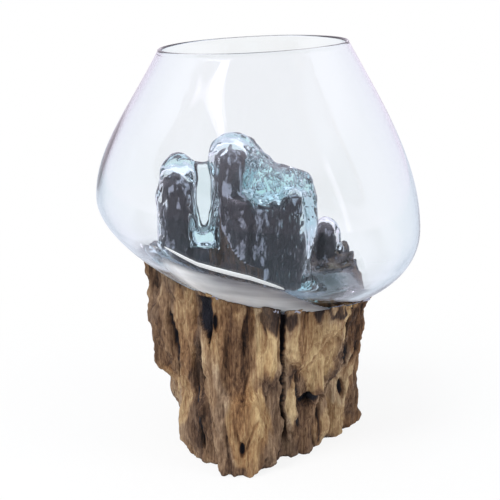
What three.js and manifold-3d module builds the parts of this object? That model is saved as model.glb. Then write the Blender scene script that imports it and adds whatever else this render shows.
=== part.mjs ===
// A blown glass bowl that sits on a block of root wood, in millimetres, +Z up.
// The glass was blown onto the wood while hot, so its floor drapes over the prongs that stand up
// from the wood, and its round underside rests in a hollow burnt to the same shape.
// The bowl lifts straight up off the prongs. The origin is on the floor, under the bowl's axis.

import * as THREE from 'three';
import { mergeVertices } from 'three/addons/utils/BufferGeometryUtils.js';
import Module from 'manifold-3d';

const wasm = await Module();
wasm.setup();

// Driving dimensions of the bowl.
const RIM_HEIGHT = 284; // floor to the lip, on the axis
const RIM_RADIUS = 64;
const BELLY_HEIGHT = 170; // floor to the widest ring, on the axis
const BELLY_RADIUS = 111;
const UNDERSIDE_DEPTH = 67; // widest ring down to the lowest glass
const UNDERSIDE_FULLNESS = 0.5; // of its curve, where 0.55 is an ellipse and less is more pointed
const RIM_WALL = 2.6;
const BELLY_WALL = 3;

// The curve from the widest ring in to the lip: its two control points, as shares of the height
// between them and of the width by which the bowl narrows.
const SHOULDER = { low: 0.35, high: 0.67, out: 0.43 };

// The thick pool of glass that lies in the bowl's bottom.
const POOL_THICKNESS = 13;
const POOL_RADIUS = 80;
const POOL_RISE = 9; // how much higher the pool's top is at its edge than in its middle

// The blown shape is uneven: each level of the bowl slopes, by these rises per millimetre.
const UNDERSIDE_SLOPE = { x: -0.18, y: -0.06 };
const RIM_SLOPE = { x: 0.05, y: 0 };
const SLOPE_GROWTH = 1.2; // how late the slope turns from the one to the other
const RIM_LEAN = -4; // how far the lip stands off the bowl's axis, along X

// Room left between the glass and the wood all over.
const CLEARANCE = 0.35;

// Prongs of wood that stand up into the bowl: place, half widths, rise above the lowest glass, and
// the height of the dome.
const PRONGS = {
  left: { x: -56, y: 12, halfX: 10, halfY: 12, rise: 94, dome: 15 },
  tall: { x: -18, y: 12, halfX: 11, halfY: 12, rise: 110, dome: 13 },
  shoulder: { x: -12, y: 9, halfX: 15, halfY: 17, rise: 81, dome: 10 },
  middle: { x: 4, y: 12, halfX: 22, halfY: 17, rise: 76, dome: 9 },
  right: { x: 21, y: 13, halfX: 11, halfY: 13, rise: 79, dome: 7 },
  far: { x: 51, y: 62, halfX: 9, halfY: 8, rise: 44, dome: 12 },
};

// The glass that closed round each prong: its thickness at the sides and on top, and how far it is
// moved along X.
const COATS = {
  left: { side: 4.5, top: 11, shift: -1 },
  tall: { side: 7, top: 9, shift: 2.5 },
  shoulder: { side: 4, top: 6, shift: 0 },
  middle: { side: 6, top: 21, shift: 1 },
  right: { side: 7, top: 16, shift: 2 },
  far: { side: 4.5, top: 10, shift: 1 },
};

const PRONG_ROOT = 16; // how deep a prong's own solid reaches into the block
const PRONG_TAPER = 0.16; // share by which a prong is wider at its root

// The glass web that hangs between the left sleeve and the tall one.
const WEB_THICKNESS = 8;
const WEB_SAG = 7; // its sagging top edge below the lower sleeve's top
const WEB_DROP = 4; // its middle below its ends

// The block of root wood, given as plan outlines of its sawn foot and of its top edge. The points
// go round from the front, and each foot point stands under the top point of the same rank.
const FOOT_OUTLINE = [
  [-13, -62], [4, -55], [18, -38], [38, -18], [54, 2], [70, 15], [77, 30], [71, 48],
  [52, 62], [20, 69], [-14, 67], [-41, 54], [-54, 28], [-55, -3], [-45, -35], [-31, -54],
];
const TOP_OUTLINE = [
  [-20, -56], [7, -62], [33, -62], [55, -56], [68, -42], [73, -15], [75, 22], [74, 50],
  [60, 74], [25, 82], [-16, 80], [-53, 65], [-71, 42], [-75, -3], [-56, -34], [-37, -55],
];
const TOP_OUTLINE_HEIGHT = 120;
const BLOCK_BELOW_BELLY = 22; // the block's top under the widest ring, before the hollow is cut
const FLARE_GROWTH = 1.6; // how late the foot's outline turns into the top's
const BOTTOM_EDGE = 2.5; // worn edge round the foot

// Where the wood swells out from the two outlines: direction in degrees from +X, height, spread
// in degrees and millimetres, and how far it stands out. They are the flake on the left and the
// notch above it, the narrower waist on the right, the knuckle in front and the hump behind.
const SWELLINGS = [
  { angle: 186, height: 86, spreadAngle: 24, spreadHeight: 22, out: 8 },
  { angle: 182, height: 122, spreadAngle: 16, spreadHeight: 5, out: -3 },
  { angle: 10, height: 48, spreadAngle: 24, spreadHeight: 26, out: -4 },
  { angle: -104, height: 34, spreadAngle: 20, spreadHeight: 32, out: 3 },
  { angle: 100, height: 60, spreadAngle: 30, spreadHeight: 34, out: 5 },
];

// Ribs and flutes that run up the block, by how many go round it. Each climbs sideways by its
// twist, and where the ones with a strong twist cross the upright ones, the wood has its knuckles.
const FLUTES = [
  { count: 7, depth: 1.5, turn: 0.4, twist: 0.004 },
  { count: 13, depth: 0.9, turn: 1.9, twist: -0.006 },
  { count: 19, depth: 1.5, turn: 0.8, twist: 0.0015 },
  { count: 11, depth: 1.1, turn: 2.6, twist: 0.011 },
  { count: 5, depth: 1.1, turn: 4, twist: -0.022 },
];

// The long drying crack in the front: its middle and half width at each height, in the face.
const CRACK_LEVELS = [
  { height: -5, x: 12.5, halfWidth: 0.5 },
  { height: 26, x: 14.5, halfWidth: 0.9 },
  { height: 60, x: 15.8, halfWidth: 1.8 },
  { height: 160, x: 16.5, halfWidth: 3 },
];
const CRACK_FACE = -50;
const CRACK_DEPTH = 32;
const CRACK_MOUTH = 18; // how far the cut runs out in front of the face
const CRACK_LEAN = -0.12; // how far it moves along X for each millimetre inwards

// Rotted hollows in the face of the wood: centre, half sizes and the turn about Y in degrees.
const HOLLOWS = [
  { x: -36, y: -57, z: 106, halfX: 4, halfY: 14, halfZ: 15, turn: 6 },
  { x: 46, y: -17, z: 47, halfX: 9, halfY: 12, halfZ: 3.6, turn: -24 },
];

// How finely the round shapes are divided.
const BOWL_SIDES = 40;
const BOWL_STEPS = 9;
const PRONG_SIDES = 12;
const SLEEVE_SIDES = 14;
const DOME_STEPS = 4;
const BLOCK_COLUMNS = 96;
const BLOCK_LEVELS = [0, BOTTOM_EDGE, 12, 22, 32, 42, 52, 62, 72, 82, 92, 102, 112, 120];

const UNDERSIDE_HEIGHT = BELLY_HEIGHT - UNDERSIDE_DEPTH;
const BLOCK_TOP = BELLY_HEIGHT - BLOCK_BELOW_BELLY;
const LIP_HEIGHT = RIM_HEIGHT - RIM_WALL / 2;

/** A closed manifold solid from a three.js geometry, with its faces turned outwards. */
function solidOf(geometry) {
  const bare = geometry.clone();
  bare.deleteAttribute('normal');
  bare.deleteAttribute('uv');
  const merged = mergeVertices(bare, 1e-4);
  const places = merged.getAttribute('position').array;
  const index = merged.getIndex().array;
  const corner = (i) => new THREE.Vector3().fromArray(places, 3 * i);
  const triangles = [];
  let sixVolumes = 0;
  for (let i = 0; i < index.length; i += 3) {
    const [a, b, c] = index.slice(i, i + 3);
    if (a === b || b === c || c === a) continue;
    triangles.push(a, b, c);
    sixVolumes += corner(a).dot(corner(b).cross(corner(c)));
  }
  if (sixVolumes < 0) {
    for (let i = 0; i < triangles.length; i += 3) {
      [triangles[i], triangles[i + 1]] = [triangles[i + 1], triangles[i]];
    }
  }
  return new wasm.Manifold(new wasm.Mesh({
    numProp: 3,
    vertProperties: new Float32Array(places),
    triVerts: new Uint32Array(triangles),
  }));
}

/** A manifold solid from rings of points, each ring above the last, closed at both ends. */
function lofted(rings) {
  const count = rings[0].length;
  const triangles = [];
  for (let low = 0; low < (rings.length - 1) * count; low += count) {
    for (let i = 0; i < count; i += 1) {
      const next = (i + 1) % count;
      const high = low + count;
      triangles.push(low + i, low + next, high + next, low + i, high + next, high + i);
    }
  }
  const places = rings.flat().map(([x, y, z]) => new THREE.Vector3(x, y, z));
  const flatFaces = (ring) => {
    const outline = ring.map(([x, y]) => new THREE.Vector2(x, y));
    return THREE.ShapeUtils.triangulateShape(outline, []);
  };
  const last = (rings.length - 1) * count;
  for (const [a, b, c] of flatFaces(rings[0])) triangles.push(a, c, b);
  for (const [a, b, c] of flatFaces(rings.at(-1))) triangles.push(last + a, last + b, last + c);
  const geometry = new THREE.BufferGeometry().setFromPoints(places);
  geometry.setIndex(triangles);
  return solidOf(geometry);
}

/** A named three.js mesh from a manifold solid. */
function meshOf(name, solid, material) {
  const { vertProperties, triVerts } = solid.getMesh();
  const geometry = new THREE.BufferGeometry();
  geometry.setAttribute('position', new THREE.BufferAttribute(vertProperties, 3));
  geometry.setIndex(new THREE.BufferAttribute(triVerts, 1));
  geometry.computeVertexNormals();
  const mesh = new THREE.Mesh(geometry, material);
  mesh.name = name;
  return mesh;
}

/** A profile turned about Z. The profile's x is the radius, and its y is the height. */
function turned(profile, sides) {
  return new THREE.LatheGeometry(profile, sides).rotateX(Math.PI / 2);
}

/** Slopes a level shape in the way that the blown bowl is uneven. */
function unevenly(geometry) {
  const position = geometry.getAttribute('position');
  for (let i = 0; i < position.count; i += 1) {
    const level = (position.getZ(i) - UNDERSIDE_HEIGHT) / (RIM_HEIGHT - UNDERSIDE_HEIGHT);
    const share = THREE.MathUtils.clamp(level, 0, 1) ** SLOPE_GROWTH;
    const slopeX = THREE.MathUtils.lerp(UNDERSIDE_SLOPE.x, RIM_SLOPE.x, share);
    const slopeY = THREE.MathUtils.lerp(UNDERSIDE_SLOPE.y, RIM_SLOPE.y, share);
    const aboveBelly = (position.getZ(i) - BELLY_HEIGHT) / (RIM_HEIGHT - BELLY_HEIGHT);
    const lean = RIM_LEAN * THREE.MathUtils.clamp(aboveBelly, 0, 1) ** 2;
    const rise = slopeX * position.getX(i) + slopeY * position.getY(i);
    position.setXYZ(i, position.getX(i) + lean, position.getY(i), position.getZ(i) + rise);
  }
  return geometry;
}

/** Points up one side of the bowl, from the axis to the lip. */
function sidePoints(belly, depth, rim) {
  const rise = LIP_HEIGHT - BELLY_HEIGHT;
  const path = new THREE.Path();
  path.moveTo(0, BELLY_HEIGHT - depth);
  path.bezierCurveTo(
    UNDERSIDE_FULLNESS * belly, BELLY_HEIGHT - depth,
    belly, BELLY_HEIGHT - UNDERSIDE_FULLNESS * depth,
    belly, BELLY_HEIGHT,
  );
  path.bezierCurveTo(
    belly, BELLY_HEIGHT + SHOULDER.low * rise,
    rim + SHOULDER.out * (belly - rim), BELLY_HEIGHT + SHOULDER.high * rise,
    rim, LIP_HEIGHT,
  );
  return path.getPoints(BOWL_STEPS);
}

/** The bowl's outer shape as one solid, or grown to the hollow that it rests in. */
function bowlOutside(grow = 0) {
  const points = sidePoints(BELLY_RADIUS + grow, UNDERSIDE_DEPTH + grow, RIM_RADIUS + grow);
  points.push(new THREE.Vector2(0, LIP_HEIGHT));
  return solidOf(unevenly(turned(points, BOWL_SIDES)));
}

/** The bowl's wall with its round lip, before the pool and the prongs. */
function bowlShell() {
  const outside = sidePoints(BELLY_RADIUS, UNDERSIDE_DEPTH, RIM_RADIUS);
  const inside = sidePoints(
    BELLY_RADIUS - BELLY_WALL, UNDERSIDE_DEPTH - BELLY_WALL, RIM_RADIUS - RIM_WALL,
  );
  const lip = new THREE.Path();
  lip.absarc(RIM_RADIUS - RIM_WALL / 2, LIP_HEIGHT, RIM_WALL / 2, 0, Math.PI);
  const lipPoints = lip.getPoints(4).slice(1, -1);
  return solidOf(unevenly(turned([...outside, ...lipPoints, ...inside.reverse()], BOWL_SIDES)));
}

/** The pool of glass in the bottom, its top a shallow dish. */
function pool() {
  const middle = UNDERSIDE_HEIGHT + POOL_THICKNESS;
  const profile = new THREE.Path();
  profile.moveTo(0, UNDERSIDE_HEIGHT - POOL_THICKNESS);
  profile.lineTo(POOL_RADIUS, UNDERSIDE_HEIGHT - POOL_THICKNESS);
  profile.lineTo(POOL_RADIUS, middle + POOL_RISE);
  profile.quadraticCurveTo(POOL_RADIUS / 2, middle, 0, middle);
  return solidOf(unevenly(turned(profile.getPoints(DOME_STEPS), BOWL_SIDES)));
}

/** One upright finger with a domed top, wider at its foot. */
function finger({ x, y, halfX, halfY, foot, top, dome, sides }) {
  const profile = new THREE.Path();
  profile.moveTo(0, foot);
  profile.lineTo(halfX * (1 + PRONG_TAPER), foot);
  profile.lineTo(halfX, top - dome);
  profile.absellipse(0, top - dome, halfX, dome, 0, Math.PI / 2);
  const geometry = turned(profile.getPoints(DOME_STEPS), sides);
  geometry.scale(1, halfY / halfX, 1);
  return solidOf(geometry.translate(x, y, 0));
}

/** One prong of wood, or the room that the glass leaves for it. */
function prongSolid(prong, grow = 0) {
  return finger({
    ...prong,
    halfX: prong.halfX + grow,
    halfY: prong.halfY + grow,
    dome: prong.dome + grow,
    foot: UNDERSIDE_HEIGHT - PRONG_ROOT - grow,
    top: UNDERSIDE_HEIGHT + prong.rise + grow,
    sides: PRONG_SIDES,
  });
}

/** The glass that closed round one prong. */
function sleeve({ x, y, halfX, halfY, rise, dome }, coat) {
  return finger({
    x: x + coat.shift,
    y,
    halfX: halfX + coat.side,
    halfY: halfY + coat.side,
    dome: dome + coat.side,
    foot: UNDERSIDE_HEIGHT - CLEARANCE,
    top: UNDERSIDE_HEIGHT + rise + coat.top,
    sides: SLEEVE_SIDES,
  });
}

/** The sheet of glass between the left sleeve and the tall one, its top edge sagging. */
function web() {
  const { left, tall } = PRONGS;
  const lower = Math.min(left.rise + COATS.left.top, tall.rise + COATS.tall.top);
  const endTop = UNDERSIDE_HEIGHT + lower - WEB_SAG;
  const middle = (left.x + tall.x) / 2;
  const shape = new THREE.Shape();
  shape.moveTo(left.x, UNDERSIDE_HEIGHT);
  shape.lineTo(tall.x, UNDERSIDE_HEIGHT);
  shape.lineTo(tall.x, endTop);
  shape.quadraticCurveTo(middle, endTop - 2 * WEB_DROP, left.x, endTop);
  const sheet = new THREE.ExtrudeGeometry(shape, {
    depth: WEB_THICKNESS, bevelEnabled: false, curveSegments: DOME_STEPS,
  });
  sheet.rotateX(Math.PI / 2);
  return solidOf(sheet.translate(0, (left.y + tall.y + WEB_THICKNESS) / 2, 0));
}

/** How far the wood stands out from its two outlines, in a direction and at a height. */
function swellingAt(angle, height) {
  let out = 0;
  for (const swelling of SWELLINGS) {
    const aside = THREE.MathUtils.radToDeg(angle) - swelling.angle;
    const turn = (THREE.MathUtils.euclideanModulo(aside + 180, 360) - 180) / swelling.spreadAngle;
    const climb = (height - swelling.height) / swelling.spreadHeight;
    out += swelling.out * Math.exp(-turn * turn - climb * climb);
  }
  for (const { count, depth, turn, twist } of FLUTES) {
    out += depth * Math.sin(count * (angle + twist * height) + turn);
  }
  return out;
}

/** The block of wood before it is cut, lofted from its foot outline to its top outline. */
function rootBlock() {
  const curves = [FOOT_OUTLINE, TOP_OUTLINE].map((outline) => new THREE.CatmullRomCurve3(
    outline.map(([x, y]) => new THREE.Vector3(x, y, 0)), true, 'centripetal',
  ));
  const ringAt = (height) => {
    const share = Math.min(height / TOP_OUTLINE_HEIGHT, 1) ** FLARE_GROWTH;
    const edge = height === 0 ? BOTTOM_EDGE : 0;
    const ring = [];
    for (let column = 0; column < BLOCK_COLUMNS; column += 1) {
      const [foot, top] = curves.map((curve) => curve.getPoint(column / BLOCK_COLUMNS));
      const place = foot.lerp(top, share);
      place.setLength(place.length() + swellingAt(Math.atan2(place.y, place.x), height) - edge);
      ring.push([place.x, place.y, height]);
    }
    return ring;
  };
  return lofted([...BLOCK_LEVELS, BLOCK_TOP].map(ringAt));
}

/** The drying crack as a wedge: a thin triangle at each level, its sharp edge inside the wood. */
function crack() {
  return lofted(CRACK_LEVELS.map(({ height, x, halfWidth }) => {
    const mouthX = x - CRACK_LEAN * CRACK_MOUTH;
    const mouthHalf = halfWidth * (1 + CRACK_MOUTH / CRACK_DEPTH);
    return [
      [mouthX - mouthHalf, CRACK_FACE - CRACK_MOUTH, height],
      [mouthX + mouthHalf, CRACK_FACE - CRACK_MOUTH, height],
      [x + CRACK_LEAN * CRACK_DEPTH, CRACK_FACE + CRACK_DEPTH, height],
    ];
  }));
}

/** One rotted hollow, as an egg that is subtracted from the wood. */
function hollow({ x, y, z, halfX, halfY, halfZ, turn }) {
  const egg = new THREE.SphereGeometry(1, 12, 8).scale(halfX, halfY, halfZ);
  return solidOf(egg.rotateY(THREE.MathUtils.degToRad(turn)).translate(x, y, z));
}

/** The root wood: a block hollowed by the bowl's underside, with its prongs. */
function woodBase() {
  let wood = rootBlock().subtract(crack());
  for (const place of HOLLOWS) wood = wood.subtract(hollow(place));
  wood = wood.subtract(bowlOutside(CLEARANCE));
  for (const prong of Object.values(PRONGS)) wood = wood.add(prongSolid(prong));
  return wood;
}

/** The blown bowl: its wall, the pool, the sleeves and the web, less the room for the prongs. */
function glassBowl() {
  let filling = pool().add(web());
  for (const [name, prong] of Object.entries(PRONGS)) {
    filling = filling.add(sleeve(prong, COATS[name]));
  }
  let glass = bowlShell().add(filling.intersect(bowlOutside()));
  for (const prong of Object.values(PRONGS)) glass = glass.subtract(prongSolid(prong, CLEARANCE));
  return glass;
}

const rootWood = new THREE.MeshStandardMaterial({ color: 0x8b6b4a, roughness: 0.85, metalness: 0 });
const blownGlass = new THREE.MeshStandardMaterial({
  color: 0xd6eeee, roughness: 0.03, metalness: 0, transparent: true, opacity: 0.3,
});

const group = new THREE.Group();
group.name = 'glass_bowl_on_root_wood';
group.add(meshOf('wood_base', woodBase(), rootWood));
group.add(meshOf('glass_bowl', glassBowl(), blownGlass));

export default group;
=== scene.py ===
"""A blown glass bowl that sits on a block of root wood.

The hot bubble of glass was lowered onto the wood. Its floor draped over the charred prongs that
stand up from the block, and its round underside took its seat in a hollow burnt to the same shape.

Every size is in millimetres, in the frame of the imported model: +Z up and the front towards -Y.
Sizes become metres when a mesh or an object of the studio is made.
"""

import logging
import math
from collections.abc import Sequence
from dataclasses import dataclass
from enum import Enum
from functools import lru_cache

import bpy
import numpy as np
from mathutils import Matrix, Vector

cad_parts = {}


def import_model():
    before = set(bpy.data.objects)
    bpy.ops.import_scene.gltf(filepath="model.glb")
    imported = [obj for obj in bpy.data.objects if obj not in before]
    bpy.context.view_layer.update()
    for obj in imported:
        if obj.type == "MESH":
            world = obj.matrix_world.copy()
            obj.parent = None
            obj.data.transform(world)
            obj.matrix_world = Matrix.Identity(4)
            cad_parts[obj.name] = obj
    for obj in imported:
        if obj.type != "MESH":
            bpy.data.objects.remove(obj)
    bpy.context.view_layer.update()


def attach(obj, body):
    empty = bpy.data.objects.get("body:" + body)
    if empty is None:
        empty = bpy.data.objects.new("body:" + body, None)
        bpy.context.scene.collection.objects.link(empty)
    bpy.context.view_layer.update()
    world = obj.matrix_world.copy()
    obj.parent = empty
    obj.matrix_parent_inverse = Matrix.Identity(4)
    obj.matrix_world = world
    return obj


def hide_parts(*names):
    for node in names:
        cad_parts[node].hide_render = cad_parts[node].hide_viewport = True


Array = np.ndarray
Material = bpy.types.Material
Piece = bpy.types.Object
Socket = bpy.types.NodeSocket
Pair = tuple[float, float]
Triple = tuple[float, float, float]
Steps = tuple[tuple[float, Triple], ...]

MILLIMETRE = 0.001
WHITE = (1.0, 1.0, 1.0)

# The seeds of the pieces' noise.
WOOD, GLASS, SMOKE = 5, 11, 23
log = logging.getLogger("glass_bowl_on_root_wood")


class Body(str, Enum):
    """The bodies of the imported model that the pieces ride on."""

    BASE = "base"
    BOWL = "bowl"


class Side(Enum):
    """Which way the faces of a height patch look."""

    UP = 1
    DOWN = -1


def smooth_step(low: float, high: float, values: Array) -> Array:
    """An even step from 0 at low, which may be the larger, to 1 at high.

    It is t * t * (3 - 2 t), where t is the clipped share of the way.
    """
    share = np.clip((values - low) / (high - low), 0.0, 1.0)
    return share * share * (3.0 - 2.0 * share)


def smooth_max(one: Array, other: Array, width: float) -> Array:
    """The larger of two heights, raised where they differ by less than a width.

    The rise is a quarter of the width times the square of the share of it that is left between.
    """
    share = np.clip(width - np.abs(one - other), 0.0, None) / width
    return np.maximum(one, other) + 0.25 * width * share * share


def smooth_min(one: Array, other: Array, width: float) -> Array:
    """The smaller of two distances, rounded where they cross as smooth_max is."""
    return -smooth_max(-one, -other, width)


def summed(rows: Array, index: Array, count: int) -> Array:
    """The sums of the rows that have the same index, for each index below the count."""
    return np.column_stack([np.bincount(index, column, minlength=count) for column in rows.T])


def columns_at(table: Sequence[Sequence[float]], values: Array) -> list[Array]:
    """A table's other columns at values of its first, straight between its rows."""
    first, *others = np.array(table).T
    return [np.interp(values, first, column) for column in others]


def smooth_union(distances: Sequence[Array], width: float) -> Array:
    """The least of several distances, rounded where they cross as smooth_max is."""
    nearest, *others = distances
    for other in others:
        nearest = smooth_min(nearest, other, width)
    return nearest


class Noise:
    """Smooth random values in space that are the same on every run."""

    SIZE = 4096
    SHIFT = 17.3
    GAIN = 1.6

    def __init__(self, seed: int) -> None:
        """Draws the table of values from a seed."""
        draw = np.random.default_rng(seed)
        self.order = draw.permutation(self.SIZE)
        self.values = draw.random(self.SIZE) * 2.0 - 1.0

    def at(self, points: Array) -> Array:
        """One layer of noise.

        Args:
            points: Places in units of the lattice, one row each.

        Returns:
            Values from -1 to 1: the lattice's values at the eight corners round a point, weighed
            by the quintic 6 t^5 - 15 t^4 + 10 t^3 of its place between them.
        """
        cell = np.floor(points).astype(np.int64)
        share = points - cell
        share = share**3 * (share * (share * 6.0 - 15.0) + 10.0)
        total = np.zeros(len(points))
        for corner in range(8):
            step = np.array([corner & 1, corner >> 1 & 1, corner >> 2 & 1])
            index = np.zeros(len(points), np.int64)
            for axis in range(3):
                index = self.order[(index + cell[:, axis] + step[axis]) % self.SIZE]
            total += self.values[index] * np.where(step == 1, share, 1.0 - share).prod(axis=1)
        return total

    def layered(self, points: Array, wavelength: Pair, layers: int) -> Array:
        """Several layers of noise, each half as large and half as strong as the last.

        Args:
            points: Places in millimetres, one row each.
            wavelength: The first layer's wavelengths across and along Z, in millimetres.
            layers: How many layers.

        Returns:
            The weighed mean of the layers, about -0.6 to 0.6.
        """
        scale = np.array([1.0 / wavelength[0], 1.0 / wavelength[0], 1.0 / wavelength[1]])
        total = np.zeros(len(points))
        weight = 0.0
        for layer in range(layers):
            total += self.at(points * scale * 2.0**layer + self.SHIFT * layer) / 2.0**layer
            weight += 1.0 / 2.0**layer
        return total / weight * self.GAIN

    def ridged(self, points: Array, wavelength: Pair, layers: int) -> Array:
        """Noise with crests of 1: one less twice the size of the layered noise, at least 0."""
        return np.clip(1.0 - 2.0 * np.abs(self.layered(points, wavelength, layers)), 0.0, 1.0)


@lru_cache
def noise_of(seed: int) -> Noise:
    """The noise of a seed, which is drawn once."""
    return Noise(seed)


@dataclass(frozen=True)
class Grain:
    """A layer of a piece's noise, read at places moved by a shift, so that no two look alike.

    Its wavelength is a pair: across, and along Z.
    """

    seed: int
    shift: float
    wavelength: Pair
    layers: int
    strength: float = 1.0
    ridged: bool = False

    def at(self, points: Array) -> Array:
        """The layer's values: its strength times the noise at the moved places."""
        noise = noise_of(self.seed)
        read = noise.ridged if self.ridged else noise.layered
        return self.strength * read(points + self.shift, self.wavelength, self.layers)


@dataclass(frozen=True)
class BowlForm:
    """The blown shape: a turned profile whose levels slope, because it was blown by hand."""

    rim_height: float = 284.0
    rim_radius: float = 64.0
    belly_height: float = 170.0
    belly_radius: float = 111.0
    underside_depth: float = 67.0
    underside_fullness: float = 0.5
    rim_wall: float = 2.6
    belly_wall: float = 3.0
    shoulder_low: float = 0.35
    shoulder_high: float = 0.67
    shoulder_out: float = 0.43
    underside_slope: Pair = (-0.18, -0.06)
    rim_slope: Pair = (0.05, 0.0)
    slope_growth: float = 1.2
    rim_lean: float = -4.0

    @property
    def underside_height(self) -> float:
        """The level of the lowest glass, before the levels slope."""
        return self.belly_height - self.underside_depth

    @property
    def lip_height(self) -> float:
        """The level at which the lip's half circle starts."""
        return self.rim_height - self.rim_wall / 2.0

    def half_profiles(self, inset: float, rim_inset: float) -> tuple[Array, Array]:
        """The profile's two curves, as (radius, level) rows.

        Args:
            inset: How far inside the blown shape the curve runs at its belly and its bottom.
            rim_inset: How far inside it runs at the lip.

        Returns:
            The lower curve from the axis to the belly, and the upper one from there to the lip.
            Each is the cubic (1-t)^3 A + 3 (1-t)^2 t B + 3 (1-t) t^2 C + t^3 D.
        """
        belly = self.belly_radius - inset
        depth = self.underside_depth - inset
        rim = self.rim_radius - rim_inset
        rise = self.lip_height - self.belly_height
        bottom = self.belly_height - depth
        out = rim + self.shoulder_out * (belly - rim)
        lower = (
            (0.0, bottom),
            (self.underside_fullness * belly, bottom),
            (belly, self.belly_height - self.underside_fullness * depth),
            (belly, self.belly_height),
        )
        upper = (
            (belly, self.belly_height),
            (belly, self.belly_height + self.shoulder_low * rise),
            (out, self.belly_height + self.shoulder_high * rise),
            (rim, self.lip_height),
        )
        t = np.linspace(0.0, 1.0, 1500)[:, None]
        weights = np.hstack([(1 - t) ** 3, 3 * (1 - t) ** 2 * t, 3 * (1 - t) * t**2, t**3])
        return weights @ np.array(lower), weights @ np.array(upper)

    def sloped(self, points: Array) -> Array:
        """Slopes the levels of a level shape and leans it towards its lip.

        Args:
            points: Places on the level shape, one row each.

        Returns:
            The same places, each raised by its level's slope times its plan place.
        """
        level = (points[:, 2] - self.underside_height) / (self.rim_height - self.underside_height)
        share = np.clip(level, 0.0, 1.0) ** self.slope_growth
        above = (points[:, 2] - self.belly_height) / (self.rim_height - self.belly_height)
        placed = points.copy()
        for axis in range(2):
            low, high = self.underside_slope[axis], self.rim_slope[axis]
            placed[:, 2] += (low + (high - low) * share) * points[:, axis]
        placed[:, 0] += self.rim_lean * np.clip(above, 0.0, 1.0) ** 2
        return placed

    def turned(self, angle: Array, radius: Array, level: Array) -> Array:
        """Places of the sloped shape by the level one's angle, in radians, radius and level."""
        flat = np.column_stack([-np.sin(angle) * radius, -np.cos(angle) * radius, level])
        return self.sloped(flat)

    def floor(self, x: Array, y: Array, inset: float = 0.0) -> Array:
        """The height of the underside, or of the surface inset from it, over places of the plan."""
        lower, _ = self.half_profiles(inset, inset)
        level = np.interp(np.hypot(x, y), lower[:, 0], lower[:, 1])
        return self.sloped(np.column_stack([x, y, level]))[:, 2]


LOWEST_GLASS = BowlForm().underside_height
PRONG_FOOT = 1.16


@dataclass(frozen=True)
class Stalk:
    """An upright shape: oval levels of (height, x, y, half x, half y), and a dome on the last."""

    levels: tuple[tuple[float, float, float, float, float], ...]
    dome: float

    @classmethod
    def prong(
        cls, x: float, y: float, half_x: float, half_y: float, rise: float, dome: float
    ) -> "Stalk":
        """A prong that rises from the level of the lowest glass, a little wider at its foot."""
        shoulder = LOWEST_GLASS + rise - dome
        foot = (LOWEST_GLASS, x, y, half_x * PRONG_FOOT, half_y * PRONG_FOOT)
        return cls((foot, (shoulder, x, y, half_x, half_y)), dome)

    def distance(self, places: Array) -> Array:
        """About how far places lie outside the stalk.

        Args:
            places: Places in space, in the last axis of the array.

        Returns:
            The oval's (or above the last level, the ellipsoid's) root of the sum of squares less
            one, times the smallest half width. It is below 0 inside.
        """
        x, y, z = np.moveaxis(places, -1, 0)
        middle_x, middle_y, half_x, half_y = columns_at(self.levels, z)
        over = np.clip(z - self.levels[-1][0], 0.0, None) / self.dome
        away = np.sqrt(((x - middle_x) / half_x) ** 2 + ((y - middle_y) / half_y) ** 2 + over**2)
        return (away - 1.0) * np.minimum(half_x, half_y)


@dataclass(frozen=True)
class Web:
    """The sheet of glass that hangs between two coats, its rolled edge, and the cradle below."""

    y: float = 12.0
    left: float = -48.0
    right: float = -30.0
    sheet_half: float = 5.5
    edge_ends: float = 204.5
    edge_sag: float = 3.0
    edge_round: float = 7.0
    cradle_height: float = 155.0
    cradle_rise: float = 40.0
    cradle_half: float = 13.0
    cradle_bottom: float = 142.0
    cradle_slope: float = 0.6
    cradle_round: Pair = (4.0, 6.0)
    foot_half: float = 1.6
    foot_fade: Pair = (4.0, -4.0)
    blend: float = 3.0

    def distance(self, places: Array) -> Array:
        """About how far places lie outside the web.

        Args:
            places: Places in space, in the last axis of the array.

        Returns:
            The lesser of two distances: to the sheet under a parabola, whose top edge is rounded
            and whose foot is thin, and to the thicker cradle, whose top is a U that rises with
            the cube of the share of the way to the coats.
        """
        x, y, z = np.moveaxis(places, -1, 0)
        along = (x - 0.5 * (self.left + self.right)) / (0.5 * (self.right - self.left))
        beyond = np.clip(np.abs(along) - 1.0, 0.0, None) * 0.5 * (self.right - self.left)
        off = np.abs(y - self.y)
        edge = self.edge_ends - self.edge_sag * (1.0 - np.clip(along, -1.0, 1.0) ** 2)
        low = smooth_step(*self.foot_fade, z - self.cradle_bottom)
        thinned = (self.sheet_half - self.foot_half) * low
        sheet = smooth_max(off - self.sheet_half + thinned, z - edge, self.edge_round)
        top = self.cradle_height + self.cradle_rise * np.clip(np.abs(along), 0.0, 1.0) ** 3
        over = (z - top) * self.cradle_slope
        cradle = smooth_max(np.maximum(off - self.cradle_half, over), over, self.cradle_round[0])
        cradle = smooth_max(cradle, self.cradle_bottom - z, self.cradle_round[1])
        nearest = smooth_min(sheet, cradle, self.blend)
        return np.hypot(np.clip(nearest, 0.0, None), beyond) + np.clip(nearest, None, 0.0)


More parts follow.
